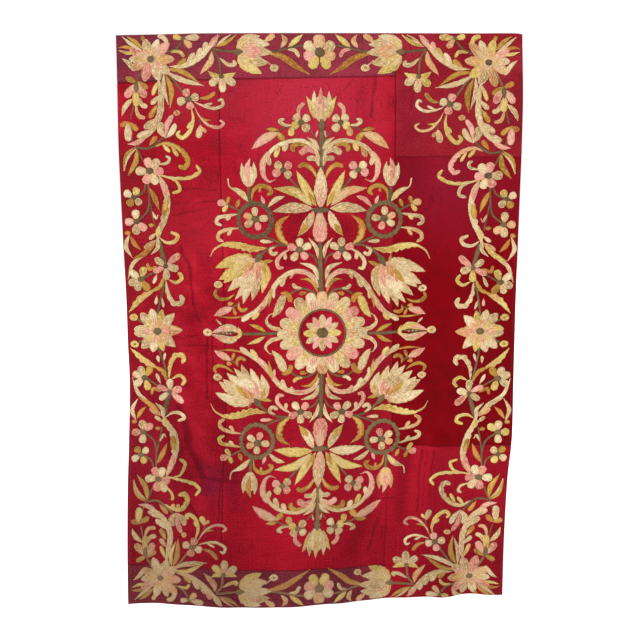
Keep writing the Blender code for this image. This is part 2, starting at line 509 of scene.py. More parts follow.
SEAM_LINES = (
    # across, down, to across, to down, half width, darkness of the seam line (partly the seam, partly painted
    # shade) and depth of the bump
    (-0.660, 0.152, 0.246, 0.136, 0.0032, 1.0),
    (-0.327, 0.150, -0.327, 1.802, 0.0026, 0.7),
    (0.246, 0.000, 0.246, 1.390, 0.0030, 0.9),
    (0.246, 1.390, 0.246, 1.940, 0.0024, 0.4),
    (0.246, 0.396, 0.660, 0.396, 0.0026, 0.6),
    (0.246, 1.384, 0.660, 1.384, 0.0030, 0.8),
    (-0.660, 1.797, 0.246, 1.815, 0.0028, 0.7),
)


# %% Silk material
def creases(place, rows):
    """How deep in a crease or a seam each point of the cloth is, from 0 to 1."""
    total = 0.0
    for first_across, first_down, last_across, last_down, half_width, darkness in rows:
        first, run = (first_across, -first_down, 0), (last_across - first_across, first_down - last_down, 0)
        gap = place.vector("SUBTRACT", first)
        along = gap.vector("DOT_PRODUCT", run, out=1) / (run[0] ** 2 + run[1] ** 2)
        along = along.math("MAXIMUM", 0.0).math("MINIMUM", 1.0)
        foot = place.node("ShaderNodeVectorMath", {"operation": "SCALE"}, {0: run, "Scale": along})
        away = gap.vector("DISTANCE", foot, out=1)
        total = away.ramp(half_width * CREASE_FADE, 0.0) * darkness + total
    return total.math("MINIMUM", 1.0)


def silk_material(name, colour, faded, deep, foot):
    """Plain woven silk: patches of fading, streaks along both threads, and storage creases, with painted
    shade in the creases and seams and towards the foot.
    """
    material, shader, start = new_material(name)
    place = start.node("ShaderNodeUVMap", {"uv_map": "cloth"})
    clouds = start.noise(place, (5.0, 4.0, 1.0), 3.0)
    mottle = clouds * 0.55 + start.noise(place, (16.0, 21.0, 1.0), 3.0) * 0.45
    warp = start.noise(place, (330.0, 6.0, 1.0))
    weft = start.noise(place, (14.0, 280.0, 1.0))
    slubs = start.noise(place, (230.0, 270.0, 1.0), 2.0)
    level = start.part(place, 1)
    tint = mottle.ramp(0.38, 0.50).blend(dye(deep), dye(colour))
    tint = mottle.ramp(0.50, 0.62).blend(tint, dye(faded))
    # painted shade: the silk darkens towards the foot of the panel
    tint = (level.ramp(-0.70, -1.95) * 0.70).blend(tint, dye(foot))
    for across, down, reach, patch, strength in DYE_AND_SHADE_PATCHES[name]:
        away = place.vector("DISTANCE", (across, -down, 0), out=1) + mottle * PATCH_STRAY
        tint = (away.ramp(reach + PATCH_STRAY / 2, PATCH_STRAY / 2) * strength).blend(tint, dye(patch))
    weave = warp * 0.12 + weft * 0.22 + slubs * 0.66
    tint = (weave.ramp(0.50, 0.64) * 0.65).blend(tint, dye(faded))
    tint = (weave.ramp(0.50, 0.36) * 0.70).blend(tint, dye(foot))
    sway = start.noise(place, (9.0, 12.0, 1.0), 3.0)
    folded = creases(place.vector("ADD", sway * 0.030 - 0.015), CREASES)
    # random crumples: their painted shade and bump join those of the creases
    wander = abs(start.noise(place, (15.0, 11.0, 1.0), 3.0) - 0.5)
    crumple = wander.ramp(0.020, 0.0) * sway.ramp(0.48, 0.60) * 0.45
    folded = folded.math("MAXIMUM", crumple).math("MAXIMUM", creases(place, SEAM_LINES))
    # painted shade: creases, crumples and seams darken the colour of the silk
    tint = (folded * 0.50).blend(tint, dye("#34060E"))
    link(tint, shader, "Base Color")
    link(warp * 0.10 + 0.42, shader, "Roughness")
    fine = (warp + weft + slubs).bump(THREAD_DEPTH, 0.5)
    link((folded * -1.0).bump(CREASE_DEPTH, under=fine), shader, "Normal")
    shader.inputs["Specular IOR Level"].default_value = 0.02
    return material


silks = {name: silk_material(name, *codes) for name, codes in SILKS.items()}
print("silks:", ", ".join(silks))

# %% [markdown]
# ## The seven lengths of silk
# Each length is one closed sheet on a fine grid. On its back, the edge is turned in: a hem on the outside
# of the panel, and a seam allowance where two lengths are sewn together. Grid lines are added where the
# turned edge begins, so that its step is sharp. The CAD solid stays for collision, and the fine sheet
# stands for it.

# %% Sheets
SHEET_THICKNESS = 0.0009
CELL = 0.0075
TURNING = 0.011
TURNING_STEP = 0.0012
TURNING_RISE = 0.0008
PIECES = (
    # node, material slot, silk, first and last stop across, first and last stop down
    ("top_strip", "plum_silk", "plum_silk", 0, 2, 0, 1),
    ("left_width", "crimson_silk", "crimson_silk", 0, 1, 1, 4),
    ("centre_width", "crimson_silk", "crimson_silk", 1, 2, 1, 4),
    ("right_top_piece", "crimson_silk", "mauve_crimson_silk", 2, 3, 0, 2),
    ("right_middle_piece", "dark_crimson_silk", "dark_crimson_silk", 2, 3, 2, 3),
    ("right_bottom_piece", "crimson_silk", "crimson_silk", 2, 3, 3, 5),
    ("bottom_strip", "plum_silk", "plum_silk", 0, 2, 4, 5),
)


def cut_lines(low, high):
    """Grid lines from one edge to the other, with two close lines where each turned edge begins and ends."""
    near = np.array([0.0, TURNING_STEP, TURNING - TURNING_STEP, TURNING])
    inner = np.linspace(low + TURNING, high - TURNING, math.ceil((high - low - 2 * TURNING) / CELL) + 1)
    return np.concatenate((low + near[:3], inner, high - near[2::-1]))


def new_object(name, points, faces, material):
    """An object with one mesh, at the origin."""
    mesh = bpy.data.meshes.new(name)
    mesh.from_pydata(points, [], faces)
    mesh.shade_smooth()
    mesh.materials.append(material)
    made = bpy.data.objects.new(name, mesh)
    bpy.context.scene.collection.objects.link(made)
    return made


def set_uv(made, name, flat):
    """A UV map, from one place for each point of the mesh."""
    corners = np.empty(len(made.data.loops), dtype=np.int64)
    made.data.loops.foreach_get("vertex_index", corners)
    made.data.uv_layers.new(name=name).data.foreach_set("uv", flat[corners].ravel())


def silk_sheet(node, silk, first_across, last_across, first_down, last_down):
    """One length of silk with its turned edges, hung in its folds."""
    columns = cut_lines(ACROSS_STOPS[first_across], ACROSS_STOPS[last_across])
    ends = DOWN_STOPS[first_down], DOWN_STOPS[last_down]
    share = cut_lines(0.0, ends[1][0] - ends[0][0]) / (ends[1][0] - ends[0][0])
    across = np.broadcast_to(columns, (len(share), len(columns)))
    top, bottom = level_line(ends[0], across), level_line(ends[1], across)
    down = top + (bottom - top) * share[:, None]

    edge = np.minimum.reduce((across - columns[0], columns[-1] - across, down - top, bottom - down))
    turned = smooth_step((TURNING - edge) / TURNING_STEP)
    half = SHEET_THICKNESS / 2
    front = hang(across, down, -half * smooth_step(0.3 + edge / TURNING_STEP))
    back = hang(across, down, half + TURNING_RISE * turned * smooth_step(0.4 + edge / TURNING_STEP))

    rows, wide = across.shape
    index = np.arange(rows * wide).reshape(rows, wide)
    quads = np.stack((index[:-1, :-1], index[1:, :-1], index[1:, 1:], index[:-1, 1:]), axis=-1).reshape(-1, 4)
    rim = np.concatenate((index[0, :], index[1:, -1], index[-1, -2::-1], index[-2:0:-1, 0]))
    ahead = np.roll(rim, -1)
    walls = np.stack((rim, ahead, ahead + rows * wide, rim + rows * wide), axis=-1)
    faces = np.concatenate((quads, quads[:, ::-1] + rows * wide, walls))
    points = np.concatenate((front.reshape(-1, 3), back.reshape(-1, 3)))

    made = new_object(node + "_silk", points.tolist(), faces.tolist(), silks[silk])
    flat = np.stack((across, -down), axis=-1).reshape(-1, 2)
    set_uv(made, "cloth", np.concatenate((flat, flat)))
    made.data.set_sharp_from_angle(angle=math.radians(50))
    width = float(columns[-1] - columns[0])
    heights = [float(level_line(ends[1], a) - level_line(ends[0], a)) for a in (columns[0], columns[-1])]
    return made, (width, max(heights)), width * sum(heights) / 2


sheets = {}
for node, slot, silk, *stops in PIECES:
    made, flat, area = sheets[node] = silk_sheet(node, silk, *stops)
    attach(made, "root")
    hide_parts(node)
    print(node, "flat %.3f x %.3f m" % flat, "with", len(made.data.polygons), "faces")

# %% [markdown]
# ## Sewing by strips
# Every petal, leaf, scroll and stem is a strip: it follows a route, and its width swells and closes again.
# Two numbers say how. The first tells how slowly the strip opens at its start, the second how slowly it
# closes at its end: near a half an end is round, near one it is pointed, near nothing it is square. The
# strip is padded by its stitches, so it stands about a millimetre and a half proud of the silk, and its rim
# goes down to the cloth. A flat strip on the back of the cloth shows the reverse of the same stitches.

# %% Threads
THREADS = {
    # thread: (colour, deeper, lighter, material slot of the record)
    "ivory": ("#CFB284", "#9A7848", "#F2DEB6", "ivory_thread"),
    "yellow": ("#D0AE58", "#A28036", "#ECD68A", "ivory_thread"),
    "pink": ("#D88C7A", "#A85846", "#F2BAA8", "pink_thread"),
    "peach": ("#D09662", "#A0683A", "#ECC292", "pink_thread"),
    "gold": ("#AE7E26", "#7E5616", "#D2A644", "gold_thread"),
    "orange": ("#B87424", "#885012", "#D49A46", "gold_thread"),
    "olive": ("#64522F", "#43351F", "#80693F", "olive_thread"),
}
KINDS = {
    # kind: (how slowly it opens, how slowly it closes, how far above the silk it starts)
    "stem": (0.05, 0.05, 0.0),
    "trunk": (0.12, 0.30, 0.0),
    "leaf": (0.80, 0.95, 0.0002),
    "sickle": (0.70, 0.75, 0.0002),
    "petal": (0.72, 0.40, 0.0002),
    "lobe": (0.62, 0.60, 0.0002),
    "ray": (0.18, 0.32, 0.0002),
    "lip": (0.44, 0.78, 0.0002),
    "blade": (0.42, 0.85, 0.0002),
    "round": (0.50, 0.50, 0.0002),
    "hook": (0.50, 0.24, 0.0002),
    "tail": (0.26, 0.90, 0.0002),
    "body": (0.50, 0.42, 0.0006),
    "stripe": (0.70, 0.90, 0.0010),
    "heart": (0.50, 0.50, 0.0013),
}
BLUSHES = {
    # thread: what it may shade into at its base
    "ivory": ("ivory", "yellow", "peach", "ivory", "pink", "yellow"),
    "yellow": ("yellow", "gold", "ivory", "peach"),
    "pink": ("ivory", "pink", "peach", "pink"),
    "peach": ("pink", "ivory", "yellow"),
    "gold": ("gold", "yellow", "orange"),
    "orange": ("gold", "orange", "yellow"),
    "olive": ("olive",),
}
ROUTES = ("stem", "trunk")
CLOSE_SET = ("lip", "ray")
SOFT_RIM = 0.935
PADDING = 0.0015
HEART_LIFT = 0.0005
STEP_ALONG = 0.0050
NARROW = 0.0080
WIDE_COLUMNS = np.array((-1.0, -0.92, -0.44, 0.0, 0.44, 0.92, 1.0))
WIDE_LIFTS = np.array((0.02, 0.80, 1.0, 1.04, 1.0, 0.80, 0.02))
NARROW_COLUMNS = np.array((-1.0, -0.80, 0.0, 0.80, 1.0))
NARROW_LIFTS = np.array((0.02, 0.85, 1.04, 0.85, 0.02))
REVERSE_COLUMNS = np.array((-1.0, 0.0, 1.0))
REVERSE_LIFTS = np.array((-0.3, 1.0, -0.3))
REVERSE_HEIGHT = 0.00035
ROW_INSET = 0.94
TOOTH_DEPTH = 0.54
ROPE_DEPTH = 0.46
RAGGED = 0.11
FULLNESS = 0.92
EDGE_INSET = 0.002
RIM = 0.0014
LEAST_INNER = 0.35
FULL_HEIGHT_FROM = 0.0022
TIP_LIFT = 0.02
ROW_LIFT = 0.75
LEAST_STEPS, MOST_STEPS = 8, 80
STEPS_A_TOOTH = 6
BLUSH_CHARTED, BLUSH_BY_CHANCE = 1.45, 0.95
BLUSH_LOST_AT_EDGE = 0.55
BLUSH_PICKS = 97


class Work:
    """All that is sewn in one thread: filled strips, and the lines that its rows of chain stitch follow."""

    def __init__(self):
        self.points, self.faces, self.stitch, self.looks, self.second, self.lines = [], [], [], [], [], []
        self.count = 0

    def add(self, points, faces, stitch, looks, second):
        """One more strip."""
        self.points.append(points)
        self.faces += [[n + self.count for n in face] for face in faces]
        self.stitch.append(stitch)
        self.looks.append(looks)
        self.second.append(np.tile(dye(THREADS[second][0]), (len(points), 1)))
        self.count += len(points)


works = {thread: Work() for thread in THREADS}
chance = np.random.default_rng(7)


# %% Strips
def smooth_route(points, share):
    """Places on a smooth curve through a route's points, and the route's length."""
    points = np.asarray(points, dtype=float)
    places = np.concatenate(([0.0], np.cumsum(np.hypot(*np.diff(points, axis=0).T))))
    rows = np.column_stack((places, points))
    at = share * places[-1]
    return np.stack((read_row(rows, at, 1), read_row(rows, at, 2)), axis=-1), places[-1]


def strip_faces(rows, wide):
    """Faces of a strip whose first and last rows are single points."""
    faces = [(0, n + 2, n + 1) for n in range(wide - 1)]
    for row in range(rows - 1):
        low = 1 + row * wide
        faces += [(low + n, low + n + 1, low + wide + n + 1, low + wide + n) for n in range(wide - 1)]
    low, end = 1 + (rows - 1) * wide, 1 + rows * wide
    return faces + [(low + n, low + n + 1, end) for n in range(wide - 1)]


def lay(route, normal, half, lean, columns, lifts, front, base, height):
    """The points of a strip laid on the front or the back of the hung cloth."""
    inner = np.maximum(half - RIM, LEAST_INNER * half)[:, None]
    reach = np.where(np.abs(columns) < 0.99, inner * columns, half[:, None] * columns)
    reach = reach * np.where(columns > 0, lean[0][:, None], lean[1][:, None])
    flat = route[1:-1, None, :] + normal[1:-1, None, :] * reach[1:-1, :, None]
    lift = base + height * lifts * np.minimum(1.0, half[1:-1, None] / FULL_HEIGHT_FROM)
    rim = base + TIP_LIFT * height
    flat = np.concatenate((route[:1], flat.reshape(-1, 2), route[-1:]))
    flat[:, 0] = np.clip(flat[:, 0], EDGE_INSET - WIDTH / 2, WIDTH / 2 - EDGE_INSET)
    flat[:, 1] = np.clip(flat[:, 1], EDGE_INSET, LENGTH - EDGE_INSET)
    lift = np.concatenate(([rim], lift.ravel(), [rim]))
    depth = SHEET_THICKNESS / 2 + lift
    return hang(flat[:, 0], flat[:, 1], -depth if front else depth)


def strip(thread, second, kind, width, route_points, teeth=0, base=0.0, outlined=True):
    """One strip of stitches. Teeth cut one side, or the other where they are negative, or both on a stem."""
    work = works[thread]
    opens, closes, lift = KINDS[kind]
    through = lift < KINDS["body"][2] and base < HEART_LIFT
    base += lift
    _, length = smooth_route(route_points, np.array([0.0, 1.0]))
    count = int(np.clip(6 + length / STEP_ALONG, LEAST_STEPS, MOST_STEPS))
    count = max(count, STEPS_A_TOOTH * abs(teeth) + 3)
    even = np.linspace(0.0, 1.0, count)
    share = 0.45 * even + 0.55 * (1 - np.cos(np.pi * even)) / 2
    route, _ = smooth_route(route_points, share)
    along = np.gradient(route, axis=0)
    along /= np.maximum(np.hypot(*along.T), 1e-9)[:, None]
    normal = np.stack((-along[:, 1], along[:, 0]), axis=-1)

    peak = opens / (opens + closes)
    swell = share**opens * (1 - share) ** closes / (peak**opens * (1 - peak) ** closes)
    half = FULLNESS * width / 2 * swell
    lean = [1 + RAGGED * chance.uniform(-1, 1, count) * min(1.0, width / NARROW) for _ in range(2)]
    if teeth:
        depth = ROPE_DEPTH if kind in ROUTES else TOOTH_DEPTH
        cut = 1 - depth * (1 - np.abs(np.sin(np.pi * abs(teeth) * share)))
        lean = [side * cut if kind in ROUTES or (teeth > 0) == first else side
                for side, first in zip(lean, (True, False))]

    columns, lifts = (WIDE_COLUMNS, WIDE_LIFTS) if width > NARROW else (NARROW_COLUMNS, NARROW_LIFTS)
    shade = chance.random()
    start = chance.random()
    fade = (1 - share) * (BLUSH_CHARTED if second else BLUSH_BY_CHANCE)
    sides = [(columns, lifts, True, base, PADDING)]
    if through:
        sides.append((REVERSE_COLUMNS, REVERSE_LIFTS, False, 0.0, REVERSE_HEIGHT))
    for columns, lifts, front, lift_base, height in sides:
        points = lay(route, normal, half, lean, columns, lifts, front, lift_base, height)
        faces = strip_faces(count - 2, len(columns))
        if not front:
            faces = [face[::-1] for face in faces]
        stitch = np.empty((len(points), 2))
        stitch[0], stitch[-1] = (0.0, start), (0.0, start + length)
        stitch[1:-1, 0] = np.tile(columns * width / 2, count - 2)
        stitch[1:-1, 1] = start + np.repeat(share[1:-1] * length, len(columns))
        looks = np.empty((len(points), 3))
        looks[:, 0] = shade
        looks[:, 1] = 1.0
        looks[1:-1, 1] = np.tile(np.abs(columns), count - 2) * (SOFT_RIM if kind in CLOSE_SET else 1.0)
        looks[:, 2] = 0.0
        looks[1:-1, 2] = (fade[1:-1, None] * (1 - BLUSH_LOST_AT_EDGE * np.abs(columns))).ravel()
        picked = BLUSHES[thread][int(shade * BLUSH_PICKS) % len(BLUSHES[thread])]
        work.add(points, faces, stitch, looks, second or picked)

    if outlined:
        edge = np.array((-ROW_INSET, ROW_INSET))
        rails = lay(route, normal, half, lean, edge, np.full(2, ROW_LIFT), True, base, PADDING)
        left, right = rails[1:-1:2], rails[2:-1:2]
        if kind in ROUTES:
            work.lines += [left, right]
        else:
            work.lines.append(np.concatenate((rails[:1], left, rails[-1:], right[::-1], rails[:1])))


# %% Drift
DRIFT_REACH = 5.0


def drifted(rows, first, second):
    """A charted point, moved as its neighbourhood was. Nearer rows of the table count for more."""
    if not len(rows):
        return first, second
    rows = np.asarray(rows)
    share = ((rows[:, 0] - first) ** 2 + (rows[:, 1] - second) ** 2 + DRIFT_REACH**2) ** -2.0
    moved = share @ rows[:, 2:] / share.sum()
    return first + moved[0], second + moved[1]


# %% Motifs
SECOND_LAYER = 0.0004
PETAL_UNEVENNESS, PETAL_TURN = 0.05, 2.3
EYELET_HEART = 0.42
SWAPS = {
    "ivory": ("pink", "yellow", "yellow"), "yellow": ("ivory", "peach"), "pink": ("ivory", "peach"),
    "peach": ("pink", "yellow"), "gold": ("yellow", "orange"), "orange": ("gold", "gold"),
}
SWAP_SHARE = 0.20
SWAP_KINDS = ("petal", "lobe", "leaf", "hook")
CHART_NAMES = "outer band bell mark cup crown curl bright trail"
NAMED_THREADS = {
    # quarter: the thread that each of the chart's names was worked in there
    (1, 1): "yellow yellow ivory pink pink pink gold pink orange",
    (-1, 1): "ivory gold ivory pink peach pink pink peach yellow",
    (1, -1): "ivory gold ivory orange ivory yellow yellow pink orange",
    (-1, -1): "ivory gold peach pink ivory yellow ivory yellow ivory",
}
COLOURWAYS = {quarter: dict(zip(CHART_NAMES.split(), way.split())) for quarter, way in NAMED_THREADS.items()}


def change(thread, kind, mirrored):
    """Now and then another thread than the charted one, where a quarter is turned over."""
    if thread in SWAPS and kind in SWAP_KINDS and mirrored and chance.random() < SWAP_SHARE:
        return SWAPS[thread][int(chance.random() * len(SWAPS[thread]))]
    return thread


def sew(rows, place, quarter=(1, 1)):
    """Sew a table of strips. Place turns the table's centimetres into places on the flat cloth."""
    mirrored = quarter[0] * quarter[1] < 0
    for kind, thread, heart, width, teeth, *points in rows:
        thread = change(COLOURWAYS[quarter].get(thread, thread), kind, mirrored)
        route = [place(*point) for point in points]
        strip(thread, heart, kind, width / 100, route, -teeth if mirrored and kind not in ROUTES else teeth)


def sew_flowers(rows, place, quarter=(1, 1)):
    """Sew a table of round flowers: petals about a centre, in threads that take turns."""
    for threads, centre, heart_radius, reach, petal_width, bearings in rows:
        middle = np.array(centre, dtype=float)
        for n, bearing in enumerate(bearings):
            out = np.array((math.cos(math.radians(bearing)), math.sin(math.radians(bearing))))
            reach_here = reach * (1 + PETAL_UNEVENNESS * math.sin(PETAL_TURN * n + reach))
            ends = [place(*(middle + out * heart_radius * 0.5)), place(*(middle + out * reach_here))]
            thread = threads[n % len(threads)]
            thread = COLOURWAYS[quarter].get(thread, thread)
            strip(thread, "", "petal", petal_width / 100, ends, 0, SECOND_LAYER)
        ends = [place(*(middle - (heart_radius, 0))), place(*(middle + (heart_radius, 0)))]
        strip("olive", "", "heart", 2 * heart_radius / 100, ends)


def sew_dots(rows, place):
    """Sew a table of small eyelets: a disc, and a smaller one on it."""
    for thread, heart, centre, radius in rows:
        for name, size, base in ((thread, radius, 0.0), (heart, radius * EYELET_HEART, HEART_LIFT)):
            ends = [place(centre[0] - size, centre[1]), place(centre[0] + size, centre[1])]
            strip(name, "", "round", 2 * size / 100, ends, 0, base, outlined=name == thread)

# %% [markdown]
# ## Charting the medallion
# The design was drawn once for a quarter of the medallion and once for a quarter of the border, and turned
# over for the other quarters. The charts below do the same, with one line of text for each strip: its kind,
# its thread with the second thread after a slash, its width, its teeth if it has any, and after the colon
# the points of its route. Widths and points are in centimetres. A name such as "bell" or "cup" stands for a
# thread that differs from quarter to quarter. In the medallion, the two numbers of a point are centimetres
# out from the upright axis, and centimetres from the level of the rosette's centre.


# %% Reading a chart
def chart(text):
    """The strips of a chart: kind, thread, second thread, width, teeth, and the points of the route."""
    rows = []
    for line in text.strip().splitlines():
        if line.startswith("#"):
            continue
        shape, route = line.split(":")
        kind, names, width, *teeth = shape.split()
        thread, _, second = names.partition("/")
        points = [tuple(float(number) for number in point.split()) for point in route.split(",")]
        rows.append((kind, thread, second, float(width), int(teeth[0]) if teeth else 0, *points))
    print(len(rows), "strips charted")
    return rows


# %% Medallion
AXIS = 0.004
CENTRE = 0.980
MEDALLION_DRIFTS = {
    # quarter: rows of a charted point, and how far further out and up it was sewn
    (1, 1): (),
    (-1, 1): (
        (0, 15, 0, 0), (0, 45, 0, 0), (0, 76, 0, 0), (12, 10, -0.3, -0.5), (7.5, 28, -0.8, 0),
        (26, 18, -1.1, -2.3), (35, 0, -1.8, 0), (22, 38, -1.3, 0), (31, 43, -1.4, 0), (24, 53, -1.0, 0),
        (12.6, 54, -0.5, 0), (15, 67, -0.6, 0),
    ),
    (1, -1): (
        (0, 15, 0, 0), (0, 41, 0, -1.1), (0, 76, 0, -1.8), (12, 10, 0, -0.3), (7.5, 28, 0, -1.3),
        (22, 26, 1.2, -2.4), (26, 11, 1.0, 0.2), (35, 20, 1.0, -1.8), (35, 0, 0, 0), (22, 38, 0, -1.0),
        (31, 43, 0, -1.2), (24, 53, 0, -1.5), (12.6, 54, 0, -1.8), (15, 67, 0, -1.8),
    ),
    (-1, -1): (
        (0, 15, 0, 0), (0, 41, 0, -1.1), (0, 76, 0, -1.8), (12, 10, -0.3, -0.3), (7.5, 28, -0.8, -0.8),
        (22, 26, -1.1, -2.6), (26, 11, -1.1, 0.2), (35, 20, -1.1, -1.4), (35, 0, -1.8, 0),
        (22, 38, -1.3, -1.0), (31, 43, -1.4, -1.2), (24, 53, -1.0, -1.5), (12.6, 54, -0.5, -1.8),
        (15, 67, -0.6, -1.8),
    ),
}
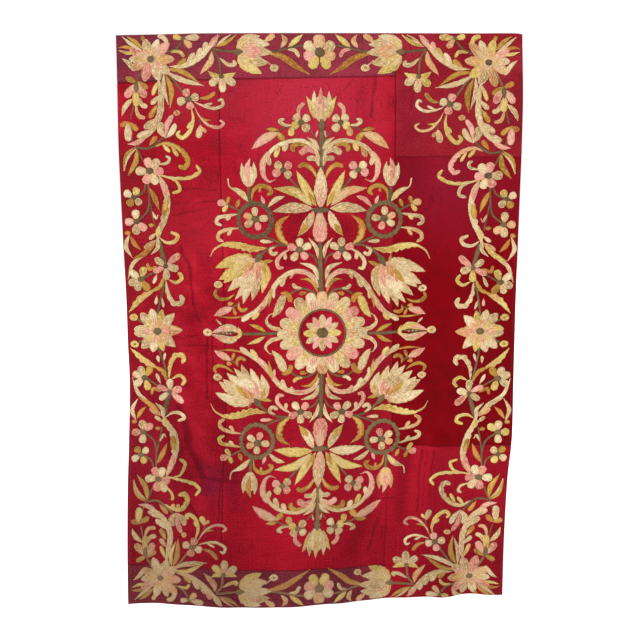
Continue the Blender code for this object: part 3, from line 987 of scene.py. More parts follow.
MEDALLION_QUARTER = chart("""
# kind, thread/second thread, width, teeth if any: points of the route
# stems
stem olive 0.7: 1.4 23.3, 2.6 25.6, 4.8 26.9
stem olive 0.8: 10.6 29.7, 15 29.6, 18.4 28.2, 21.8 25.3
stem olive 1: 18.6 28, 21.9 25.2
stem olive 0.7: 12.3 29.8, 16.4 31.5, 20 33
stem olive 0.8: 4 43.8, 7.4 48, 10.6 51.8
stem olive 1.2: 23.8 49.6, 24 46.5, 23.7 43.6
stem olive 0.7: 27.3 41, 31.4 43.1
stem olive 0.6: 1.2 61.6, 1.7 64.4, 3.4 66.6
stem olive 0.6: 10.6 68.1, 13 67.4, 14.4 66.2
stem olive 0.8: 1.8 11.2, 2.6 13.4, 5.6 15, 8.4 14.8, 10.7 13.5
stem olive 0.7: 28 10.9, 28.9 9.8, 30.5 9
# the long scroll under the open tulip, its coloured bands and its lobes
stem ivory 2: 1.6 15.2, 2.9 18.6, 6.4 20.8, 11 20.4, 15 17.5, 17.8 13.2, 20.6 9.4, 23.6 7, 27.4 5.2
stripe pink/ivory 1.7: 2.4 17.6, 5 20.2, 10.4 20.9
leaf gold 1.5: 1.5 13.6, 2.6 16.4, 4.6 18.1, 7.2 18.3
stripe gold/yellow 1.5: 16.9 16, 17.6 12.6, 18.1 9.3
stripe pink/ivory 2: 17.8 14, 19.4 10.4, 22.2 7
petal ivory 2.2: 11.4 20.4, 13 18.6, 13.8 16
petal ivory 1.6: 15 17.2, 16.4 15.4, 16.4 12.2
petal pink 1.1: 9.4 20.3, 10.8 18.7
petal yellow 1.8: 21.2 9, 22.4 6.4, 23.8 5.2
petal ivory 1.9: 23.6 7.4, 25.6 5.6, 27.5 4.5
leaf orange 0.9: 25.8 6.2, 30.5 5.5, 35.2 5.8
# between the rosette and the scroll
hook ivory 1.5: 6.8 15.3, 8.8 15.6, 10 16.8
petal orange 1.6: 5.3 13.7, 7.7 13.5
hook orange 2.2: 14 13.7, 12.6 13.7, 11.1 12.4, 10.8 10.8
petal ivory 3.4: 16.9 5.8, 15 8.4, 13 13.1
tail ivory/peach 1.7: 14.2 1.7, 17 2.2, 19 4.4, 17.9 6.6, 16.9 6.9
leaf gold 1.7: 19.2 0.9, 22 2.4, 24.9 3.4
# leaves on the axis stem
leaf ivory 2: 1.2 17.8, 2.8 21.9, 7.3 23.7
leaf ivory 1.7: 1.3 25.2, 1.9 28.6, 4.3 31.8
# the flower spray: leaves about the ring and the open tulip
petal ivory 1.6: 16.5 30.8, 20.5 31.1
hook ivory 1.6: 15.6 29.1, 17.3 28.3, 16.5 26.8, 14.8 27.3
leaf orange/yellow 2.9 6: 11 29.6, 13.8 32.6, 14.2 36.6, 10.8 39.4
leaf yellow/gold 3.1 -8: 18.4 28.8, 23 28.4, 28 29.5, 32.6 29.8, 35.4 28.8
tail peach 0.9: 33.6 29.7, 36 28.2, 37.4 25.8
hook pink/ivory 1.7: 10.6 28.4, 13.2 26.8, 15 24.6, 14.6 22.4, 12.9 22.2
petal ivory 1.5: 12.4 27.6, 12.3 24.9
leaf gold 1.6: 16.6 24.6, 20.8 24
petal gold 1.4: 24.3 27.2, 23.6 24.9
# open tulip
lip outer/gold 3.6: 21 24.6, 18.9 20.4, 20.3 13.9
lip outer/ivory 4.8: 23.6 25.2, 29.4 21.4, 34.6 18.2
lip outer/ivory 4.2: 23.6 24.4, 29.4 20.2, 33.2 17.2
lip outer/ivory 4.4: 23.2 25.4, 29.8 24.4, 35.8 22.1
lip ivory 4.4: 22.4 24.4, 27 19, 31.9 14.3
lip ivory 4: 21.6 24.4, 22 18, 23.7 11.5
lip ivory 3.8: 22 24.4, 25 17.5, 29.4 11.7
lip ivory 4.2: 21.9 24.4, 24.6 17.5, 26.8 10.3
body ivory/pink 8.6: 21.6 25, 27.4 15.8
stripe band/gold 2.6: 23.6 24.4, 29 18.6
stripe pink 2: 21.6 24.3, 21.6 20.6, 22.4 16.8
stripe pink 1.7: 23.6 24.2, 25 21.6, 27 18.8
stripe gold 1.4: 22.8 24.4, 23.6 22.6, 24.8 20.8
stripe olive 2.6: 20 27, 22.5 23.9
# beside and under the open tulip
hook gold 1.4: 29.8 13.2, 32 11.9, 34.6 11.7, 36.2 13.2, 35.6 15
hook gold 1.5: 28 10.6, 28.4 9.2, 27.2 8, 25.3 8.7
petal orange 1.8: 30.2 10.3, 32 10.1
petal orange 1.4: 30.2 9.1, 29.4 6.4
leaf pink/ivory 2.9: 30.4 8.9, 33.4 7.7, 36.7 6
# curled leaves outside the ring
hook ivory 1.6: 27.8 39.9, 31.2 39.3, 34.4 38.6, 34.9 37, 33.2 36.1
petal ivory 1.5: 30 39.4, 31.7 38
hook peach/ivory 1.6: 27.5 35.3, 31 34.9, 34.2 33.6, 34.6 31.8, 32.9 30.8
petal peach 1.5: 29.8 34.8, 31.4 32.9
# lily petals
leaf ivory 3.9: 3 41.6, 9.6 41.9, 16.2 40.8
leaf yellow/ivory 3.5: 3.2 42.6, 8.6 47, 15.6 48.3
leaf yellow/ivory 3.5: 1.8 42.4, 4.9 47.6, 8.2 53.9
stripe gold 1.8: 2.2 42.8, 4.6 47.6
leaf ivory 3.5: 2.6 40.8, 4.6 36.8, 7.9 32.6
stripe gold 2.2: 4.6 36.6, 7.8 32.8
# bell tulip, its leaves, and the small bud beside it
body bell 5.4: 24 48.8, 24.1 55.6
blade bell 2.6: 23.3 50.2, 22.2 53.2, 22.2 56.8
blade bell 2.6: 24.7 50.2, 25.8 53.2, 26.2 56.4
stripe mark 2.4: 24 50.6, 24.4 54.6, 23.4 58.1
leaf ivory/yellow 2.3: 24.3 44, 26.6 46.8, 30 48.6
stem ivory 0.6: 28.8 47.6, 30.4 49, 30.8 51.5
hook gold/orange 1.7: 23.1 44.4, 22.6 47.4, 20.4 49.1, 17.6 48.6, 16.6 47.1, 17.9 46.1
petal gold 1.2: 20.2 48.8, 20.4 47.1
leaf ivory 2: 12.3 45.6, 15.2 44.6, 18 42
leaf pink 1.5: 18.9 43, 19.9 45.9
round gold 1.6: 27.2 44.6, 28.2 42.2
petal gold 1.7: 31.4 43, 30.5 45.5
petal yellow 1.9: 31 43, 32.8 40.7
petal pink 2.7: 31.4 43.3, 34.4 43.7
# the scroll about the four-petalled flower
stem ivory 1.6: 0.7 57, 2.4 61.4, 6.4 63.6, 11.4 63.2, 15.6 61.2, 18.2 57.6
tail pink/ivory 2.6: 17 60, 19.2 56.4, 19 52.4, 17.3 50.5, 15 51.2
petal ivory 2.3: 11 63.4, 12.4 60.4
petal yellow/gold 2.1: 13.6 62.4, 15.2 58.4
petal ivory 1.9: 17.6 59.2, 16.9 55.8
hook gold 1.9: 4.6 61.9, 7.6 62.7, 9.4 61.6, 9 60.2
hook pink 2.6: 1.9 59.6, 4.4 61, 7 59.4
hook ivory 2: 0.8 55.4, 1.9 57.8, 4.7 57.9
hook orange/yellow 1.9: 1.4 51.5, 3 54.3, 5.6 55.9, 7.6 55.2
# the crown: bud, leaves and curls about the top tulip
leaf ivory 1.7: 0.7 60.6, 2.3 63.2, 4.7 64.7
petal pink 1: 1.8 64.6, 1.2 66.9
hook pink 1.8: 7.2 70.8, 7.4 73.8, 5.5 75.8
hook ivory 1.4: 9.4 68.6, 12.2 68.8, 13.6 70, 12.1 70.7
petal yellow/gold 2.6: 9.6 68.2, 10 65.2
leaf gold 1.7: 14 67.1, 18 67.5
petal gold/yellow 2.6: 14.5 66.5, 12.2 63.8
leaf pink/ivory 3.6: 14 66.2, 18.4 64.4, 22.8 61
leaf yellow/gold 2.2: 2.4 71, 3.5 75.2, 4.9 77.9
""")
MEDALLION_FLOWERS = (
    # threads in turn, centre, heart radius, reach, petal width, bearings of the petals
    (("ivory", "peach", "ivory", "pink", "ivory"), (22.0, 38.3), 1.4, 4.0, 2.7, (86, 20, -34, -108, 176)),
    (("ivory", "pink", "ivory", "pink", "ivory"), (7.5, 28.0), 1.3, 4.1, 2.9, (92, 22, -52, -130, 156)),
    (("pink", "ivory", "pink", "ivory"), (12.6, 54.2), 1.1, 3.5, 3.2, (140, 44, -22, -138)),
    (("ivory", "ivory", "ivory", "yellow"), (6.6, 69.5), 1.1, 3.4, 3.2, (142, 48, -132, -24)),
)
MEDALLION_DOTS = (
    # thread, heart, centre, radius
    ("ivory", "gold", (35.1, 16.5), 1.4),
)
RING_CENTRE, RING_RADIUS, RING_WIDTH = (22.1, 37.9), 5.5, 2.1

# What stands on the upright axis is sewn twice, above the centre and below it
MEDALLION_UPRIGHT = chart("""
trunk olive 2: 0.4 13.2, 0.5 20, 0.5 26, 0.5 32.4
trunk olive 1.9: -0.2 53.8, -0.2 60, -0.1 71
petal pink/ivory 5.6: 0.5 41, 0.5 30.5
leaf ivory/pink 5: 0.3 41.6, 0.2 55.2
heart olive 2.2: -2.5 41, 3.2 41.1
stripe olive 2.6: -0.1 66.8, -0.1 71
body ivory 6.2: 0 69.6, 0 78
blade ivory 3: -0.8 70.6, -2.4 75, -2.5 79.6
blade ivory 3: 0.8 70.6, 2.2 75, 2.4 79.7
stripe crown/ivory 2.7: 0 70.4, 0.1 76, 0.2 80.5
stripe yellow 1.7: -0.4 70.3, -0.4 73.6
""")
# What lies on the level axis is sewn twice, left of the centre and right of it
MEDALLION_LEVEL = chart("""
stem olive 1.2: 15.4 0.3, 22 0.2, 28.6 0.1
leaf ivory 2.9: 28 0.4, 31.4 2.1, 37.6 0.3
stripe pink 1.5: 32 1.5, 34.8 1.5, 37.8 0.2
leaf ivory 2.9: 28 -0.4, 31.4 -2.1, 37.6 -0.3
stripe pink 1.4: 32 -1.5, 34.8 -1.5, 37.8 -0.2
stripe yellow 1.7: 28.6 2.2, 28 0, 29.4 -1.8
stripe olive 1.2: 30 0.2, 36.4 0.2
heart pink 0.7: 30.9 0.1, 31.6 0.1
heart pink 0.7: 32.2 0.2, 32.9 0.2
heart pink 0.7: 33.5 0.3, 34.2 0.3
leaf ivory 0.9: 34.2 3, 35.9 4.7
""")
LEVEL_DOTS = (
    ("ivory", "orange", (39.0, 0.4), 1.5),
)

# %% [markdown]
# ## The rosette
# The middle of the medallion is a wheel of broad petals outside an olive ring, with a small star of petals
# inside it. Petals about a centre follow a rule, so two short tables of bearings make them.

# %% Rosette
ROSETTE_PETALS = (
    # bearing, reach, width, thread, heart
    (0, 15.4, 4.7, "ivory", "peach"),
    (16, 14.9, 4.7, "ivory", "yellow"),
    (34, 14.6, 4.8, "pink", "ivory"),
    (53, 14.8, 4.8, "ivory", "yellow"),
    (72, 14.2, 4.8, "ivory", "pink"),
    (90, 14.1, 4.6, "peach", "ivory"),
)
STAR_PETALS = (
    # bearing, reach, width, thread, heart
    (2, 6.3, 2.8, "yellow", ""),
    (31, 6.3, 2.7, "ivory", ""),
    (60, 6.2, 2.6, "pink", ""),
    (90, 6.2, 2.9, "ivory", ""),
)
ROSETTE_RING = 7.9
PETAL_START, STAR_START = 8.0, 1.2


def medallion(side, flip):
    """A function from the medallion's centimetres to the flat cloth, turned over across and down or not."""
    def place(out, up):
        out, up = drifted(MEDALLION_DRIFTS[side, flip], out, up)
        return AXIS - side * out / 100, CENTRE - flip * up / 100
    return place


def about(bearing, far):
    """A point about the centre of the medallion."""
    return far * math.cos(math.radians(bearing)), far * math.sin(math.radians(bearing))


def sew_rosette():
    """Petals at all their bearings, those on an axis only once, and then the ring and the heart."""
    whole = medallion(1, 1)
    done = set()
    for side in (1, -1):
        for flip in (1, -1):
            for bearing, reach, width, thread, heart in ROSETTE_PETALS + STAR_PETALS:
                turned = round(math.degrees(math.atan2(flip * math.sin(math.radians(bearing)),
                                                       side * math.cos(math.radians(bearing)))), 3)
                if (turned, reach) in done:
                    continue
                done.add((turned, reach))
                start = PETAL_START if reach > ROSETTE_RING else STAR_START
                ends = about(turned, start), about(turned, reach)
                kind = "ray" if reach > ROSETTE_RING else "lobe"
                sew([(kind, thread, heart, width, 0, *ends)], whole)
    ring = [about(bearing, ROSETTE_RING) for bearing in range(0, 366, 12)]
    strip("olive", "", "stem", 0.0095, [whole(*point) for point in ring], 24, 0.0010)
    strip("olive", "", "heart", 0.040, [whole(-2.0, 0.0), whole(2.0, 0.0)])


SIDES_AND_FLIPS = ((1, 1), (-1, 1), (1, -1), (-1, -1))

# %% Sew the medallion
for side, flip in SIDES_AND_FLIPS:
    place = medallion(side, flip)
    sew(MEDALLION_QUARTER, place, (side, flip))
    sew_flowers(MEDALLION_FLOWERS, place)
    sew_dots(MEDALLION_DOTS, place)
    ring = [
        (RING_CENTRE[0] + about(bearing, RING_RADIUS)[0], RING_CENTRE[1] + about(bearing, RING_RADIUS)[1])
        for bearing in range(0, 366, 15)
    ]
    strip("olive", "", "stem", RING_WIDTH / 100, [place(*point) for point in ring], 19, 0.0003)
for flip in (1, -1):
    sew(MEDALLION_UPRIGHT, medallion(1, flip), (1, flip))
for side in (1, -1):
    sew(MEDALLION_LEVEL, medallion(side, 1), (side, 1))
    sew_dots(LEVEL_DOTS, medallion(side, 1))
sew_rosette()
print("medallion sewn:", {thread: work.count for thread, work in works.items()})

# %% [markdown]
# ## Charting the border
# In the border, the two numbers of a point are centimetres from the left edge and centimetres down from the
# top. The same tables, turned over, make the other three quarters.

# %% Border of the top edge
BORDER_CORNER = chart("""
# kind, thread/second thread, width, teeth if any: points of the route
stem olive 0.9: 9.6 10.4, 8.2 11.8, 6.6 14.6
leaf ivory 1.5: 8.4 5.2, 5 3, 2 0.5
leaf gold 1.7: 8.6 4.4, 6.2 2.2, 3.6 0.5
petal gold 1.7: 9.6 2.6, 8.4 0.4
leaf orange 1.4: 6 4.7, 3.2 3.8, 0.8 4
leaf yellow 1.4: 6.4 5.8, 3.6 5.7, 1 4.9
petal ivory 1.9: 1.8 7.4, 3.8 8.8, 6 11.4
hook ivory 1.9: 15.6 5, 16.4 2.8, 15.4 1, 13.6 0.5
lobe ivory/peach 3.6: 10.8 7.2, 9.4 1.4
lobe pink/ivory 3.6: 10.2 7.4, 4.3 4.2
lobe ivory/yellow 3.4: 10.2 7.8, 4.2 7.6
lobe peach/ivory 3.6: 10 8.2, 4.7 10.9
lobe pink 3.8: 10.6 8.8, 8.9 14.8
lobe ivory 3.8: 11.6 8.8, 13.9 14.6
lobe ivory/pink 3.8: 12 8.5, 17.2 12.6
lobe peach/yellow 3.8: 12 7.8, 18.8 8
lobe pink/ivory 3.7: 11.9 7.2, 17.3 2.8
lobe ivory/peach 3.2: 11.4 7, 13.8 1.6
body ivory/pink 3.4: 9.4 7.8, 12.8 7.8
heart olive 2.4: 9.9 7.8, 12.3 7.8
# the cup flower under the corner flower
petal gold 2.1: 6.4 15.2, 3 13.5
petal gold 2: 6.6 14.8, 10 17.1
petal yellow 2.8: 6 17.2, 6.2 22.8
petal pink/ivory 3: 6 15.6, 2.8 19.8
petal pink/ivory 3: 6.8 15.6, 9.2 20
stripe olive 2: 6.3 14.6, 6.1 18.6
leaf ivory 2.1: 5 20.3, 2.6 22.8, 1.4 25.8
hook ivory/gold 1.9: 7.3 20.2, 7.9 22.2, 9.7 23.1
# leaves at the right of the corner flower
leaf gold 1.9: 16.2 11, 21.2 12, 26.7 15.6
leaf ivory 2.1: 16 12, 21 14.6, 28.2 16.6
stem olive 0.8: 16.3 12.2, 18.6 14.8, 21.4 18.8
leaf ivory 1.8: 15.3 12.4, 15.2 17.2, 16.6 22.4
leaf gold 2.2: 15.9 12.8, 17.6 17.8, 17.2 23.6
# the long lobed scroll
sickle ivory 2.5: 13.2 12.8, 14.1 18, 13.8 25.2, 10.6 31.2, 4.8 35
petal yellow 1.8: 13.2 15, 11.5 19.3
petal ivory 2: 13.6 19.6, 11 22.2
petal orange/yellow 2.1: 12.9 22.6, 10.4 26.6
petal ivory 2.5: 13 26.8, 8.6 30
petal ivory 2.3: 11.2 30.6, 6.2 32.7
leaf pink 2: 9 33.2, 6 34.6, 3.1 35
# scrolls hanging from the four-petalled flower
hook orange 1.7: 26.8 20.6, 29.6 20.4, 31.8 18.8
hook ivory 1.3: 25.4 22, 28.6 23.3, 31.8 23.9, 34.4 22.7, 33.9 21.1, 32.7 21.5
petal ivory 1.1: 27.8 23, 30.8 22.3
hook pink/ivory 1.2: 25.2 23.6, 26.6 26.3, 29.6 29.3, 33 30, 34.6 28.8, 33.2 27.7
leaf gold 1.1: 26.4 26.1, 28 27.5, 30.3 27.7
hook yellow 1.7: 24.1 23.8, 24.6 27.2, 23.6 31, 21 33.3, 19.4 32.2, 20.3 31
petal yellow 1.5: 24.2 28, 22.7 30.2
stem olive 0.5: 26.7 27.6, 27.2 29.4
petal peach 1.4: 27.3 29.9, 28.8 31.6
petal ivory/peach 2.6: 27.1 29.2, 26.2 33.4
# the acanthus leaf rising to the top edge
leaf ivory 2.3: 17.2 10.3, 22 10.2, 27 7.6, 30.5 4.2, 33.7 0.7
petal gold 2: 19.4 10.2, 22.6 8.1
petal ivory 2.1: 22.8 9.4, 25.5 6.2
petal ivory 1.9: 25.9 7.6, 27.7 4.7
petal ivory 2.1: 28.2 5.8, 29.5 2.8
leaf pink/ivory 2.6: 30.2 4.6, 31.8 2.6, 33.2 0.5
leaf gold 1.6: 32.2 4.2, 36 2.8, 39.2 0.5
leaf ivory 1.1: 32.8 3.7, 35.5 1.6, 37.4 0.5
leaf peach 2.5: 31 5.8, 30.6 8.8, 27.2 12.8
# the flower that the top edge cuts through
stem olive 0.9: 16.4 5.7, 19.4 4.8, 21.4 2.6
hook yellow 1.4: 17.6 5.7, 20.6 5.7, 22 7.3
petal yellow 2.2: 21.6 1.6, 18.6 0.8
petal peach 2.4: 22 1.8, 24.4 4.4
petal ivory 2.4: 22.2 1.4, 27 1.2
petal olive 1.8: 20.6 1.6, 23 1.6
# the flower hanging on its stem
stem olive 0.9: 31.4 5.4, 33.2 8, 33.8 13.2
petal ivory 3: 33.5 13.8, 30.2 16.4
petal ivory 3: 34.6 13.8, 38.4 16.2
petal ivory/pink 3: 34 13.8, 34.4 18.7
leaf yellow 2: 34.2 13.8, 31.6 13.4, 29.7 12
leaf yellow 2.2: 33.6 13.6, 36.4 13.6, 38.6 12.5
heart olive 1.7: 33.1 13.7, 34.8 13.7
hook ivory 1.6: 33.6 7.9, 36.3 9.9, 38.5 9.9, 37.9 8.6
# the tulip lying on its side, with its stem to the middle flower
stem olive 0.9: 31.2 5, 35 5.6, 39.4 5.9
stem olive 0.9: 46 6, 52 5.7, 58 4.3, 63 3.8
lip ivory/yellow 3.8: 39.8 5.6, 41.8 2.4, 46.8 0.9
lip yellow/ivory 4.2: 40 6.6, 42.2 10, 47.1 12.8
lip ivory/pink 4.6: 40 5.6, 45 3.4, 49.9 3.6
lip ivory/yellow 4.8: 40.2 6.4, 44.8 8.6, 49 9.6
lip ivory 4: 40.2 6, 45.2 5.8, 50.8 6.2
body cup/ivory 4.6: 40.2 5.8, 47 5.6
stripe olive 2.2: 38 5.9, 41.4 5.9
stem peach 0.5: 48.4 8.6, 50.4 10.2
petal peach 2.4: 48.2 2.7, 51.5 0.5
leaf peach/ivory 2.1: 53.5 4.6, 54.9 2.4, 53.8 0.5
leaf yellow 2.2: 56 4.3, 58.6 2.2, 60.7 0.5
hook ivory 1.6: 55.8 5.2, 58.2 5.6, 59.3 7.6
leaf orange 2.4: 48.8 6.2, 54 7.6, 58.2 10.4, 62.8 13.2
""")
CORNER_FLOWERS = (
    # threads in turn, centre, heart radius, reach, petal width, bearings of the petals
    (("pink", "ivory", "ivory", "pink"), (23.1, 20.9), 1.2, 3.5, 3.2, (-105, -15, 165, 75)),
)
CORNER_DOTS = (
    # thread, heart, centre, radius
    ("ivory", "gold", (51.2, 11.0), 1.4),
)

# %% Border of the side edge
BORDER_SIDE = chart("""
# kind, thread/second thread, width, teeth if any: points of the route
stem olive 0.6: 5.4 22.2, 4.2 27
hook peach 1.7: 5.9 22.4, 6.8 25.8, 8.9 26.7
petal ivory 3: 3.2 28, 3.4 34
petal orange 2.2: 4.2 28, 0.8 28.9
petal orange 2.2: 3.8 28, 6.5 30.6
stem olive 0.6: 4.3 31.6, 4.8 34.2, 5.8 36
stem olive 0.9: 6 36, 9.4 36.5, 12.4 35.2, 14.8 33
petal ivory 2.5: 15.6 33.2, 13.8 30.6, 14.4 28.2
petal ivory 2.4: 15.8 33.2, 17.8 31, 18.8 28.7
petal pink 2.2: 15.6 32.8, 16.2 28.8, 18 25.8
petal orange 2: 10.2 35.5, 12.6 32.6
hook curl/yellow 2.2 9: 12.1 35.9, 15.4 35, 20 37, 22.6 40.8, 21.4 42.9, 19.4 42.3
petal yellow 1.5: 14.4 35.2, 16.8 37.8
petal yellow 1.5: 17.4 36.2, 19.4 39.2
leaf gold 1.4: 5.7 35.9, 2.6 38.4, 1.3 43.5
leaf ivory 1: 5.8 36.4, 2.9 39.5, 1.6 43.5
leaf gold 2.2: 6 36.6, 5.6 40.5, 2.8 45.2
stem olive 0.6: 5.9 36.2, 8 40.6
# round the six-petalled flower
hook ivory 1.3: 13 41.8, 16 41.2, 16.6 39.8, 15.4 39
hook yellow/ivory 1.6 -6: 13 45.2, 18 46.3, 23 46.2, 26.4 44.2, 25.2 42.2
hook yellow 1.4: 16.2 46.2, 18.8 47.6, 19.6 50.2, 17.2 51.2
# the long scroll, one band of colour after another
sickle ivory 2.9 9: 12.6 44.8, 14.7 49, 15.2 54, 14.2 59, 12.3 63.8, 10.8 68.4
body pink/ivory 2.4: 13.1 46.2, 14.5 49.2, 15 52.2
body gold/yellow 2.4: 15 53.6, 14 58.6
body yellow/ivory 2: 12.4 62, 11.4 65.2
petal ivory 1.6: 11.2 64.2, 8.8 66.2
leaf ivory 1.6: 11.8 65.6, 11.4 69, 9.1 71.3
petal peach 2: 11 66.6, 7 69.2
# stems and leaves between the two four-petalled flowers
stem olive 0.7: 8.4 48, 7.6 50.6, 4.4 52.3
stem olive 0.8: 9.3 47.8, 9.4 53, 8.6 57, 5 60.3
stem olive 0.6: 9.5 53, 10.2 58, 11 62.4
leaf orange 2.1: 9.6 49.4, 11.2 52.5, 12.5 56.4
leaf ivory 1.1: 10.2 57, 11.4 59.4, 12.1 58.2
hook yellow/ivory 1.6: 12.3 65.9, 14.6 67.5, 17.4 67, 18.3 65.2, 16 64
leaf ivory 1.8: 2.2 64.6, 0.9 68.5, 2.8 72.2
leaf orange 1.8: 2.6 65.2, 4 67.8, 5.7 69.6
leaf trail 2.1: 10.6 67.6, 6.8 71, 3.1 72.6
leaf ivory 1.6: 6.4 72, 3.1 74, 1 79.4
stem olive 1.7: 12.1 66.8, 12.6 70, 13.7 75
# the small five-petalled flower with its curls
petal ivory 2.6: 13.6 75.2, 10.4 72.6
petal pink 2.4: 13.6 75.6, 9.6 77.1
petal ivory 2.8: 13.8 75.8, 14 79.8
petal ivory 3: 14 75.4, 17.9 76.4
petal pink 2.8: 14.2 75, 18.5 71.3
heart olive 1.7: 12.9 75.3, 14.6 75.3
hook orange 1.5: 10.7 75.3, 8.4 76.1, 7.7 74.2
petal ivory 1.5: 10.8 78, 9.5 81
hook yellow 1.6: 14.7 79.8, 17.2 80.9, 19 79.3, 17.9 77.5
stem olive 0.7: 6.6 79, 10.2 77
# leaves down to the side rosette
stem olive 0.8: 13.3 79.5, 12.4 84, 10.4 92
leaf gold 1.8 4: 13.1 78.8, 11.4 82.2, 7.6 83.8
leaf yellow/peach 2.7 5: 9.8 83.2, 5.2 85.6, 0.8 90.5
hook ivory 2.2 6: 13.7 80.2, 14.2 84.4, 16.2 88, 19 87.4, 18.4 85
petal ivory 1.4: 10.5 85.2, 10.1 87.9
petal ivory 1.1: 12.2 85.8, 12.7 89
""")
SIDE_FLOWERS = (
    # threads in turn, centre, heart radius, reach, petal width, bearings of the petals
    (("pink", "ivory", "ivory", "pink", "ivory", "pink"), (10.0, 43.8), 1.3, 4.6, 3.4,
     (-100, -50, 180, 112, 64, 4)),
    (("yellow", "gold", "ivory", "ivory"), (4.3, 52.3), 1.0, 3.4, 2.9, (-65, 125, -148, 45)),
    (("ivory", "bright", "ivory", "bright"), (4.9, 60.3), 1.1, 4.1, 3.1, (-94, 44, 96, 180)),
    (("yellow", "ivory", "ivory", "ivory", "gold"), (5.4, 79.4), 1.2, 4.4, 3.0, (-72, -144, 160, 114, 58)),
)
SIDE_DOTS = (
    # thread, heart, centre, radius
    ("peach", "orange", (19.3, 25.2), 1.1),
    ("orange", "yellow", (9.7, 61.6), 0.8),
    ("orange", "yellow", (1.7, 64.0), 0.9),
    ("yellow", "gold", (2.4, 92.2), 1.4),
)
ROSETTE_OF_SIDE = chart("""
# the upper half of the flower at the middle of the side edge
stem olive 0.8: 3.6 92.8, 9 96
lobe ivory/yellow 4.2: 9.8 96.4, 4.9 90.8
lobe ivory/pink 3.8: 9.9 96.2, 8.6 89.4
lip yellow/peach 3.6: 10.6 96.2, 12.2 89.7
lip ivory/peach 4.2: 10.6 96.8, 16.2 91.2
lobe ivory/pink 4.2: 9.6 97, 2.4 96.2
lip peach/pink 4.2: 10.8 97, 18.8 97
""")
TOP_MIDDLE = chart("""
# half of the flower at the middle of the top edge
petal pink 4: 65 6.4, 60.9 7.6
petal ivory 4: 64.8 5.6, 61.2 3.2
petal yellow 3.8: 65.4 6.8, 63.2 11.2
petal peach/ivory 3.6: 65.8 5.4, 65.4 0.6
""")

# %% Places in the border
BORDER_DRIFTS = {
    # quarter: rows of a charted point, and how far further inward and further from its own end it was sewn
    (1, 1): (),
    (-1, 1): (
        (8, 1, 0, 0.5), (20, 2, 0, 0), (34, 15, 0, 0), (30, 4, 0, 0), (44, 6, 0, 0), (64, 6, 0, 0),
        (11, 8, 0, 1.6), (6, 18, 0, 2.5), (23, 21, 0.7, 1.8), (14, 28, 0.4, 1.8), (10, 44, 0.8, 2.1),
        (4.3, 52, 0, 1.2), (4.9, 60, 0, 1.8), (14, 60, 0.8, 1.6), (14, 75, 1.2, 1.1), (5.4, 79.4, 0, 2.1),
        (10, 97, 1.6, 1.1),
    ),
    (1, -1): (
        (8, 1, 0.3, 0.8), (30, 4, 0, 0), (44, 6, 0, 0), (64, 6, 1.5, 0), (11, 8, 0.6, 1.8),
        (6, 18, 0, 2.3), (23, 21, 0, 0.4), (34, 15, 0, -1.8), (16, 30, 2.0, 0.4), (22, 41, -1.6, -3.0),
        (10, 44, 0.9, 1.8), (4.3, 52, 0, 1.8), (4.9, 60, 0, 1.8), (15, 57, 1.1, 1.8), (14, 75, 0, 0.5),
        (5.4, 79.4, 0, 1.8), (10, 97, 0, 0),
    ),
    (-1, -1): (
        (30, 4, 0, 0), (44, 6, 0, 0), (64, 6, -1.5, 0), (11, 8, 0.5, -0.9), (6, 18, 0, 0),
        (23, 21, 1.2, 0), (34, 15, 0, -1.4), (16, 30, 0, -1.4), (10, 44, 0, 0), (4.6, 56, 0, 0),
        (15, 57, 1.1, -0.4), (14, 75, 1.6, -0.9), (5.4, 79.4, 0, 0), (10, 97, 1.6, -1.1),
    ),
}


def border(side, flip):
    """A function from the border's centimetres to the flat cloth, turned over across and down or not."""
    def place(inward, down):
        inward, down = drifted(BORDER_DRIFTS[side, flip], inward, down)
        return side * (inward / 100 - WIDTH / 2), down / 100 if flip > 0 else LENGTH - down / 100
    return place


# %% Sew the border
for side, flip in SIDES_AND_FLIPS:
    place = border(side, flip)
    for table in (BORDER_CORNER, BORDER_SIDE, ROSETTE_OF_SIDE, TOP_MIDDLE):
        sew(table, place, (side, flip))
    for table in (CORNER_FLOWERS, SIDE_FLOWERS):
        sew_flowers(table, place, (side, flip))
    for table in (CORNER_DOTS, SIDE_DOTS):
        sew_dots(table, place)
for side in (1, -1):
    sew((("heart", "olive", "", 2.8, 0, (9.0, 97.0), (11.8, 97.0)),), border(side, 1))
for flip in (1, -1):
    sew((("heart", "olive", "", 3.4, 0, (64.4, 6.1), (67.8, 6.1)),), border(1, flip))
print("border sewn:", {thread: work.count for thread, work in works.items()})

# %% [markdown]
# ## Thread
# A filled petal is rows of chain stitch laid side by side. Its material draws them from a UV map that
# counts metres across the rows and along them: each row is a chain of domed links, and every second row
# starts half a link later. Between the links the thread is darker with painted shade. Near the rim of a
# shape a gold-brown band, partly the outline's own colour and partly painted shade, gives way to a line of
# painted shade at the very edge, both weaker where petals are set close together. Each strip carries one
# number that shifts its colour a little, as the skeins of one dye bath never quite match, and a second
# colour at its base. Painted shade darkens every thread towards the foot, and more so at the left.

# %% Thread material
CHAIN_ROW = 0.00155
CHAIN_LINK = 0.0036
# the red ground showing between stitches; in the grooves between links it is partly painted shade
BARE = "#7C4230"
RIM_SHADE = "#48140E"
# painted shade on every thread towards the foot of the panel, stronger at its left
FOOT_SHADE = "#6A4E30"
FOOT_SHADE_LEAN = 0.35
FOOT_SHADE_FROM, FOOT_SHADE_FULL = -1.20, -2.10
FOOT_SHADE_MOST = 0.60
# gold-brown band inside the rim of a shape: partly the outline's own colour, partly painted shade
EDGING = {"ivory_thread": "#B08A42", "pink_thread": "#BE7A4A", "peach_thread": "#AE7434"}


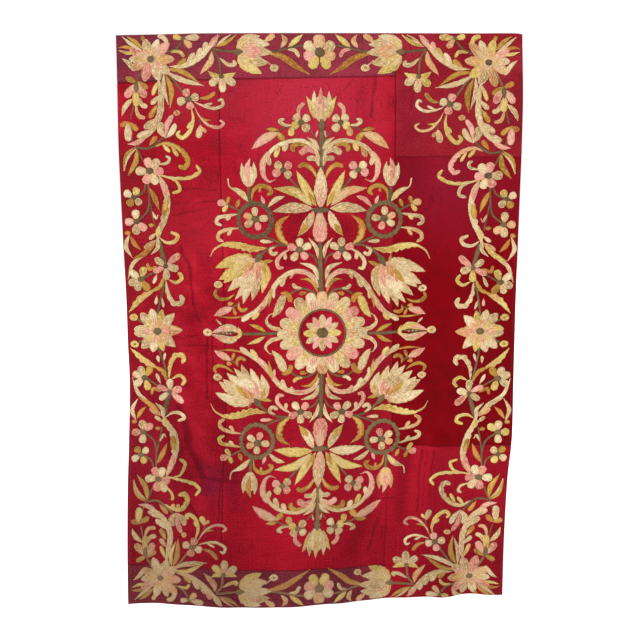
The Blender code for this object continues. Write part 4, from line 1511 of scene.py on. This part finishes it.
def shaded_towards_foot(tint):
    """Painted shade: a colour darkened towards the foot of the panel, and more so at its left."""
    spot = tint.node("ShaderNodeTexCoord", out=3)
    low = spot.part(spot, 2) + spot.part(spot, 0) * FOOT_SHADE_LEAN
    return (low.ramp(FOOT_SHADE_FROM, FOOT_SHADE_FULL) * FOOT_SHADE_MOST).blend(tint, dye(FOOT_SHADE))


def thread_material(name, colour, deeper, lighter):
    """Rows of chain stitch in floss silk."""
    material, shader, start = new_material(name)
    place = start.node("ShaderNodeUVMap", {"uv_map": "stitch"})
    rows = start.part(place, 0) / CHAIN_ROW + 500.0
    row = rows.math("FLOOR")
    across = abs(rows - row - 0.5) * 2.0
    late = row.math("MODULO", 2.0) * 0.5
    links = start.part(place, 1) / CHAIN_LINK + late
    link_place = abs(links - links.math("FLOOR") - 0.5) * 2.0
    dome = (1.0 - across * across) * (1.0 - link_place * link_place * link_place)
    groove = (across * 1.6).math("MINIMUM", 1.0) * (1.0 - link_place * 0.4)
    height = dome.math("SQRT") * (groove * 0.45 + 0.55)

    looks = start.node("ShaderNodeAttribute", {"attribute_name": "looks"}, None, 1)
    shade, edge, blush = (start.part(looks, n) for n in range(3))
    second = start.node("ShaderNodeAttribute", {"attribute_name": "second"})
    worn = start.noise(place, (34.0, 34.0, 1.0), 3.0)
    strands = start.noise(place, (280.0, 75.0, 1.0), 2.0)
    flecks = start.noise(place, (280.0, 220.0, 1.0), 2.0)
    fray = start.noise(place, (900.0, 300.0, 1.0), 2.0)
    tone = shade * 0.45 + worn * 0.55
    tint = tone.ramp(0.24, 0.50).blend(dye(deeper), dye(colour))
    tint = tone.ramp(0.50, 0.80).blend(tint, dye(lighter))
    tint = (blush + worn * 0.5 + flecks * 0.5).ramp(0.92, 1.32).blend(tint, second)
    tint = (strands.ramp(0.50, 0.62) * 0.80).blend(tint, dye(lighter))
    tint = (strands.ramp(0.48, 0.36) * 0.55).blend(tint, dye(deeper))
    tint = (flecks.ramp(0.50, 0.32) * 0.45).blend(tint, dye(BARE))
    # painted shade in the grooves between links, deepest where the bare ground shows
    tint = (height.ramp(0.62, 0.12) * 0.60).blend(tint, dye(deeper))
    tint = (height.ramp(0.30, 0.0) * 0.30).blend(tint, dye(BARE))
    # a gold-brown band, partly painted shade, then a line of painted shade at the very rim
    tint = ((edge + worn * 0.2).ramp(0.72, 0.98) * 0.65).blend(tint, dye(EDGING.get(name, deeper)))
    tint = edge.ramp(0.92, 0.97).blend(tint, dye(RIM_SHADE))
    link(shaded_towards_foot(tint), shader, "Base Color")
    link(fray * 0.15 + 0.45, shader, "Roughness")
    relief_height = height + fray * 0.15 + flecks * 0.8
    link(relief_height.bump(THREAD_DEPTH, 0.9), shader, "Normal")
    shader.inputs["Specular IOR Level"].default_value = 0.25
    return material


def link_material(name, colour, deeper, lighter):
    """Floss silk of single links: the same dyes, varied from place to place."""
    material, shader, start = new_material(name)
    place = start.node("ShaderNodeTexCoord", out=3)
    worn = start.noise(place, (40.0, 40.0, 40.0))
    flecks = start.noise(place, (320.0, 320.0, 320.0))
    tint = worn.ramp(0.42, 0.60).blend(dye(colour), dye(lighter))
    tint = (flecks.ramp(0.52, 0.36) * 0.8).blend(tint, dye(deeper))
    link(shaded_towards_foot(tint), shader, "Base Color")
    shader.inputs["Roughness"].default_value = 0.5
    shader.inputs["Specular IOR Level"].default_value = 0.25
    return material


threads = {name: thread_material(name + "_thread", *codes[:3]) for name, codes in THREADS.items()}
link_threads = {name: link_material(name + "_links", *codes[:3]) for name, codes in THREADS.items()}

# %% [markdown]
# ## From strips to meshes
# All strips of one thread become one mesh, with its UV map and its shade. All meshes ride with the panel.


def keep_thread(made, thread):
    """A piece of embroidery that rides with the panel."""
    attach(made, "root")
    print(made.name, len(made.data.polygons), "faces")


for thread, work in works.items():
    made = new_object(thread + "_stitches", np.concatenate(work.points).tolist(), work.faces, threads[thread])
    set_uv(made, "stitch", np.concatenate(work.stitch))
    for name, kind, field, values in (
        ("looks", "FLOAT_VECTOR", "vector", work.looks), ("second", "FLOAT_COLOR", "color", work.second)
    ):
        made.data.attributes.new(name, kind, "POINT").data.foreach_set(field, np.concatenate(values).ravel())
    keep_thread(made, thread)

# %% [markdown]
# ## Rows of chain stitch
# Each shape is edged with a row of chain stitch, and these links are real. A Geometry Nodes tree lays them:
# it turns the edge lines into curves, sets a point at each stitch, and puts one small link there, turned
# along the row and flat to the cloth. The same tree, with a wider spacing, lays the running stitches that
# hold the hem. The result is kept as a plain mesh.

# %% A link of the chain
LINK_LENGTH = 0.0042
LINK_WIDTH = 0.0017
LINK_HEIGHT = 0.0009
LINK_UNEVENNESS = 0.12
HEM_STITCH = 0.0085
HEM_INSET = TURNING * 0.8
HEM_POINTS = 160
HEM_CODES = ("#6C1020", "#460A14", "#84182A")
LINK_RING = (
    # along, across, height: shares of the link's sizes
    (-0.50, 0.00, 0.0),
    (-0.10, 0.50, 0.0),
    (0.35, 0.38, 0.0),
    (0.52, 0.00, 0.0),
    (0.35, -0.38, 0.0),
    (-0.10, -0.50, 0.0),
    (0.05, 0.00, 1.0),
)


def link_source():
    """One link of the chain: a low faceted drop, seen from the front."""
    scale = np.array((LINK_LENGTH, LINK_WIDTH, LINK_HEIGHT))
    points = (np.array(LINK_RING) * scale).tolist()
    faces = [(n, (n + 1) % 6, 6)[::-1] for n in range(6)]
    return new_object("chain_link", points, faces, link_threads["ivory"])


def chain_tree(source):
    """A Geometry Nodes tree that lays links along lines."""
    tree = bpy.data.node_groups.new("chain_rows", "GeometryNodeTree")
    face = tree.interface
    face.new_socket("Geometry", in_out="INPUT", socket_type="NodeSocketGeometry")
    face.new_socket("Spacing", in_out="INPUT", socket_type="NodeSocketFloat")
    face.new_socket("Unevenness", in_out="INPUT", socket_type="NodeSocketFloat")
    face.new_socket("Seed", in_out="INPUT", socket_type="NodeSocketInt")
    face.new_socket("Material", in_out="INPUT", socket_type="NodeSocketMaterial")
    face.new_socket("Geometry", in_out="OUTPUT", socket_type="NodeSocketGeometry")
    start = Field(tree)
    given = start.node("NodeGroupInput").socket.node
    take = {socket.name: Field(tree, socket) for socket in given.outputs if socket.name}
    curves = start.node("GeometryNodeMeshToCurve", None, {0: take["Geometry"]})
    spaced = {"Curve": curves, "Length": take["Spacing"]}
    points = start.node("GeometryNodeResampleCurve", {"mode": "LENGTH"}, spaced)
    tangent = start.node("GeometryNodeInputTangent")
    shape = start.node("GeometryNodeObjectInfo", None, {"Object": source}, out="Geometry")
    along = start.node("FunctionNodeAlignRotationToVector", {"axis": "X"}, {"Vector": tangent})
    flat = start.node(
        "FunctionNodeAlignRotationToVector", {"axis": "Z", "pivot_axis": "X"},
        {"Rotation": along, "Vector": (0.0, -1.0, 0.0)},
    )
    low = 1.0 - take["Unevenness"]
    high = take["Unevenness"] + 1.0
    limits = {2: low, 3: high, "Seed": take["Seed"]}
    size = start.node("FunctionNodeRandomValue", {"data_type": "FLOAT"}, limits, out=1)
    placed = start.node(
        "GeometryNodeInstanceOnPoints", None,
        {"Points": points, "Instance": shape, "Rotation": flat, "Scale": size},
    )
    real = start.node("GeometryNodeRealizeInstances", None, {0: placed})
    done = start.node("GeometryNodeSetMaterial", None, {"Geometry": real, "Material": take["Material"]})
    output = tree.nodes.new("NodeGroupOutput")
    tree.links.new(done.socket, output.inputs[0])
    return tree


def sew_rows(name, lines, spacing, thread, tree):
    """Lay a row of links on every line, as a plain mesh."""
    counts = np.cumsum([0] + [len(line) for line in lines])
    edges = np.concatenate([np.arange(a, b - 1) for a, b in zip(counts[:-1], counts[1:])])
    mesh = bpy.data.meshes.new(name)
    mesh.from_pydata(np.concatenate(lines).tolist(), np.stack((edges, edges + 1), axis=-1).tolist(), [])
    made = bpy.data.objects.new(name, mesh)
    bpy.context.scene.collection.objects.link(made)
    modifier = made.modifiers.new("rows", "NODES")
    modifier.node_group = tree
    values = {"Spacing": spacing, "Unevenness": LINK_UNEVENNESS, "Seed": len(lines), "Material": thread}
    for socket in tree.interface.items_tree:
        if socket.in_out == "INPUT" and socket.name in values:
            modifier[socket.identifier] = values[socket.name]
    made.data.update()
    laid = bpy.data.meshes.new_from_object(made.evaluated_get(bpy.context.evaluated_depsgraph_get()))
    made.modifiers.clear()
    made.data = laid
    laid.name = name
    return made


def hem_lines(inset):
    """The four lines along the outer edges that the hem is sewn down on, as it hangs."""
    across, down = WIDTH / 2 - inset, LENGTH - inset
    corners = np.array(((-across, inset), (across, inset), (across, down), (-across, down), (-across, inset)))
    lines = []
    for first, last in zip(corners[:-1], corners[1:]):
        flat = first + (last - first) * np.linspace(0.0, 1.0, HEM_POINTS)[:, None]
        lines.append(hang(flat[:, 0], flat[:, 1], np.full(HEM_POINTS, -SHEET_THICKNESS / 2)))
    return lines


source = link_source()
tree = chain_tree(source)
for thread, work in works.items():
    keep_thread(sew_rows(thread + "_chain", work.lines, CHAIN_LINK, link_threads[thread], tree), thread)
hem_thread = link_material("hem_thread", *HEM_CODES)
hem = sew_rows("hem_stitches", hem_lines(HEM_INSET), HEM_STITCH, hem_thread, tree)
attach(hem, "root")
print(hem.name, len(hem.data.polygons), "faces")
bpy.data.objects.remove(source)
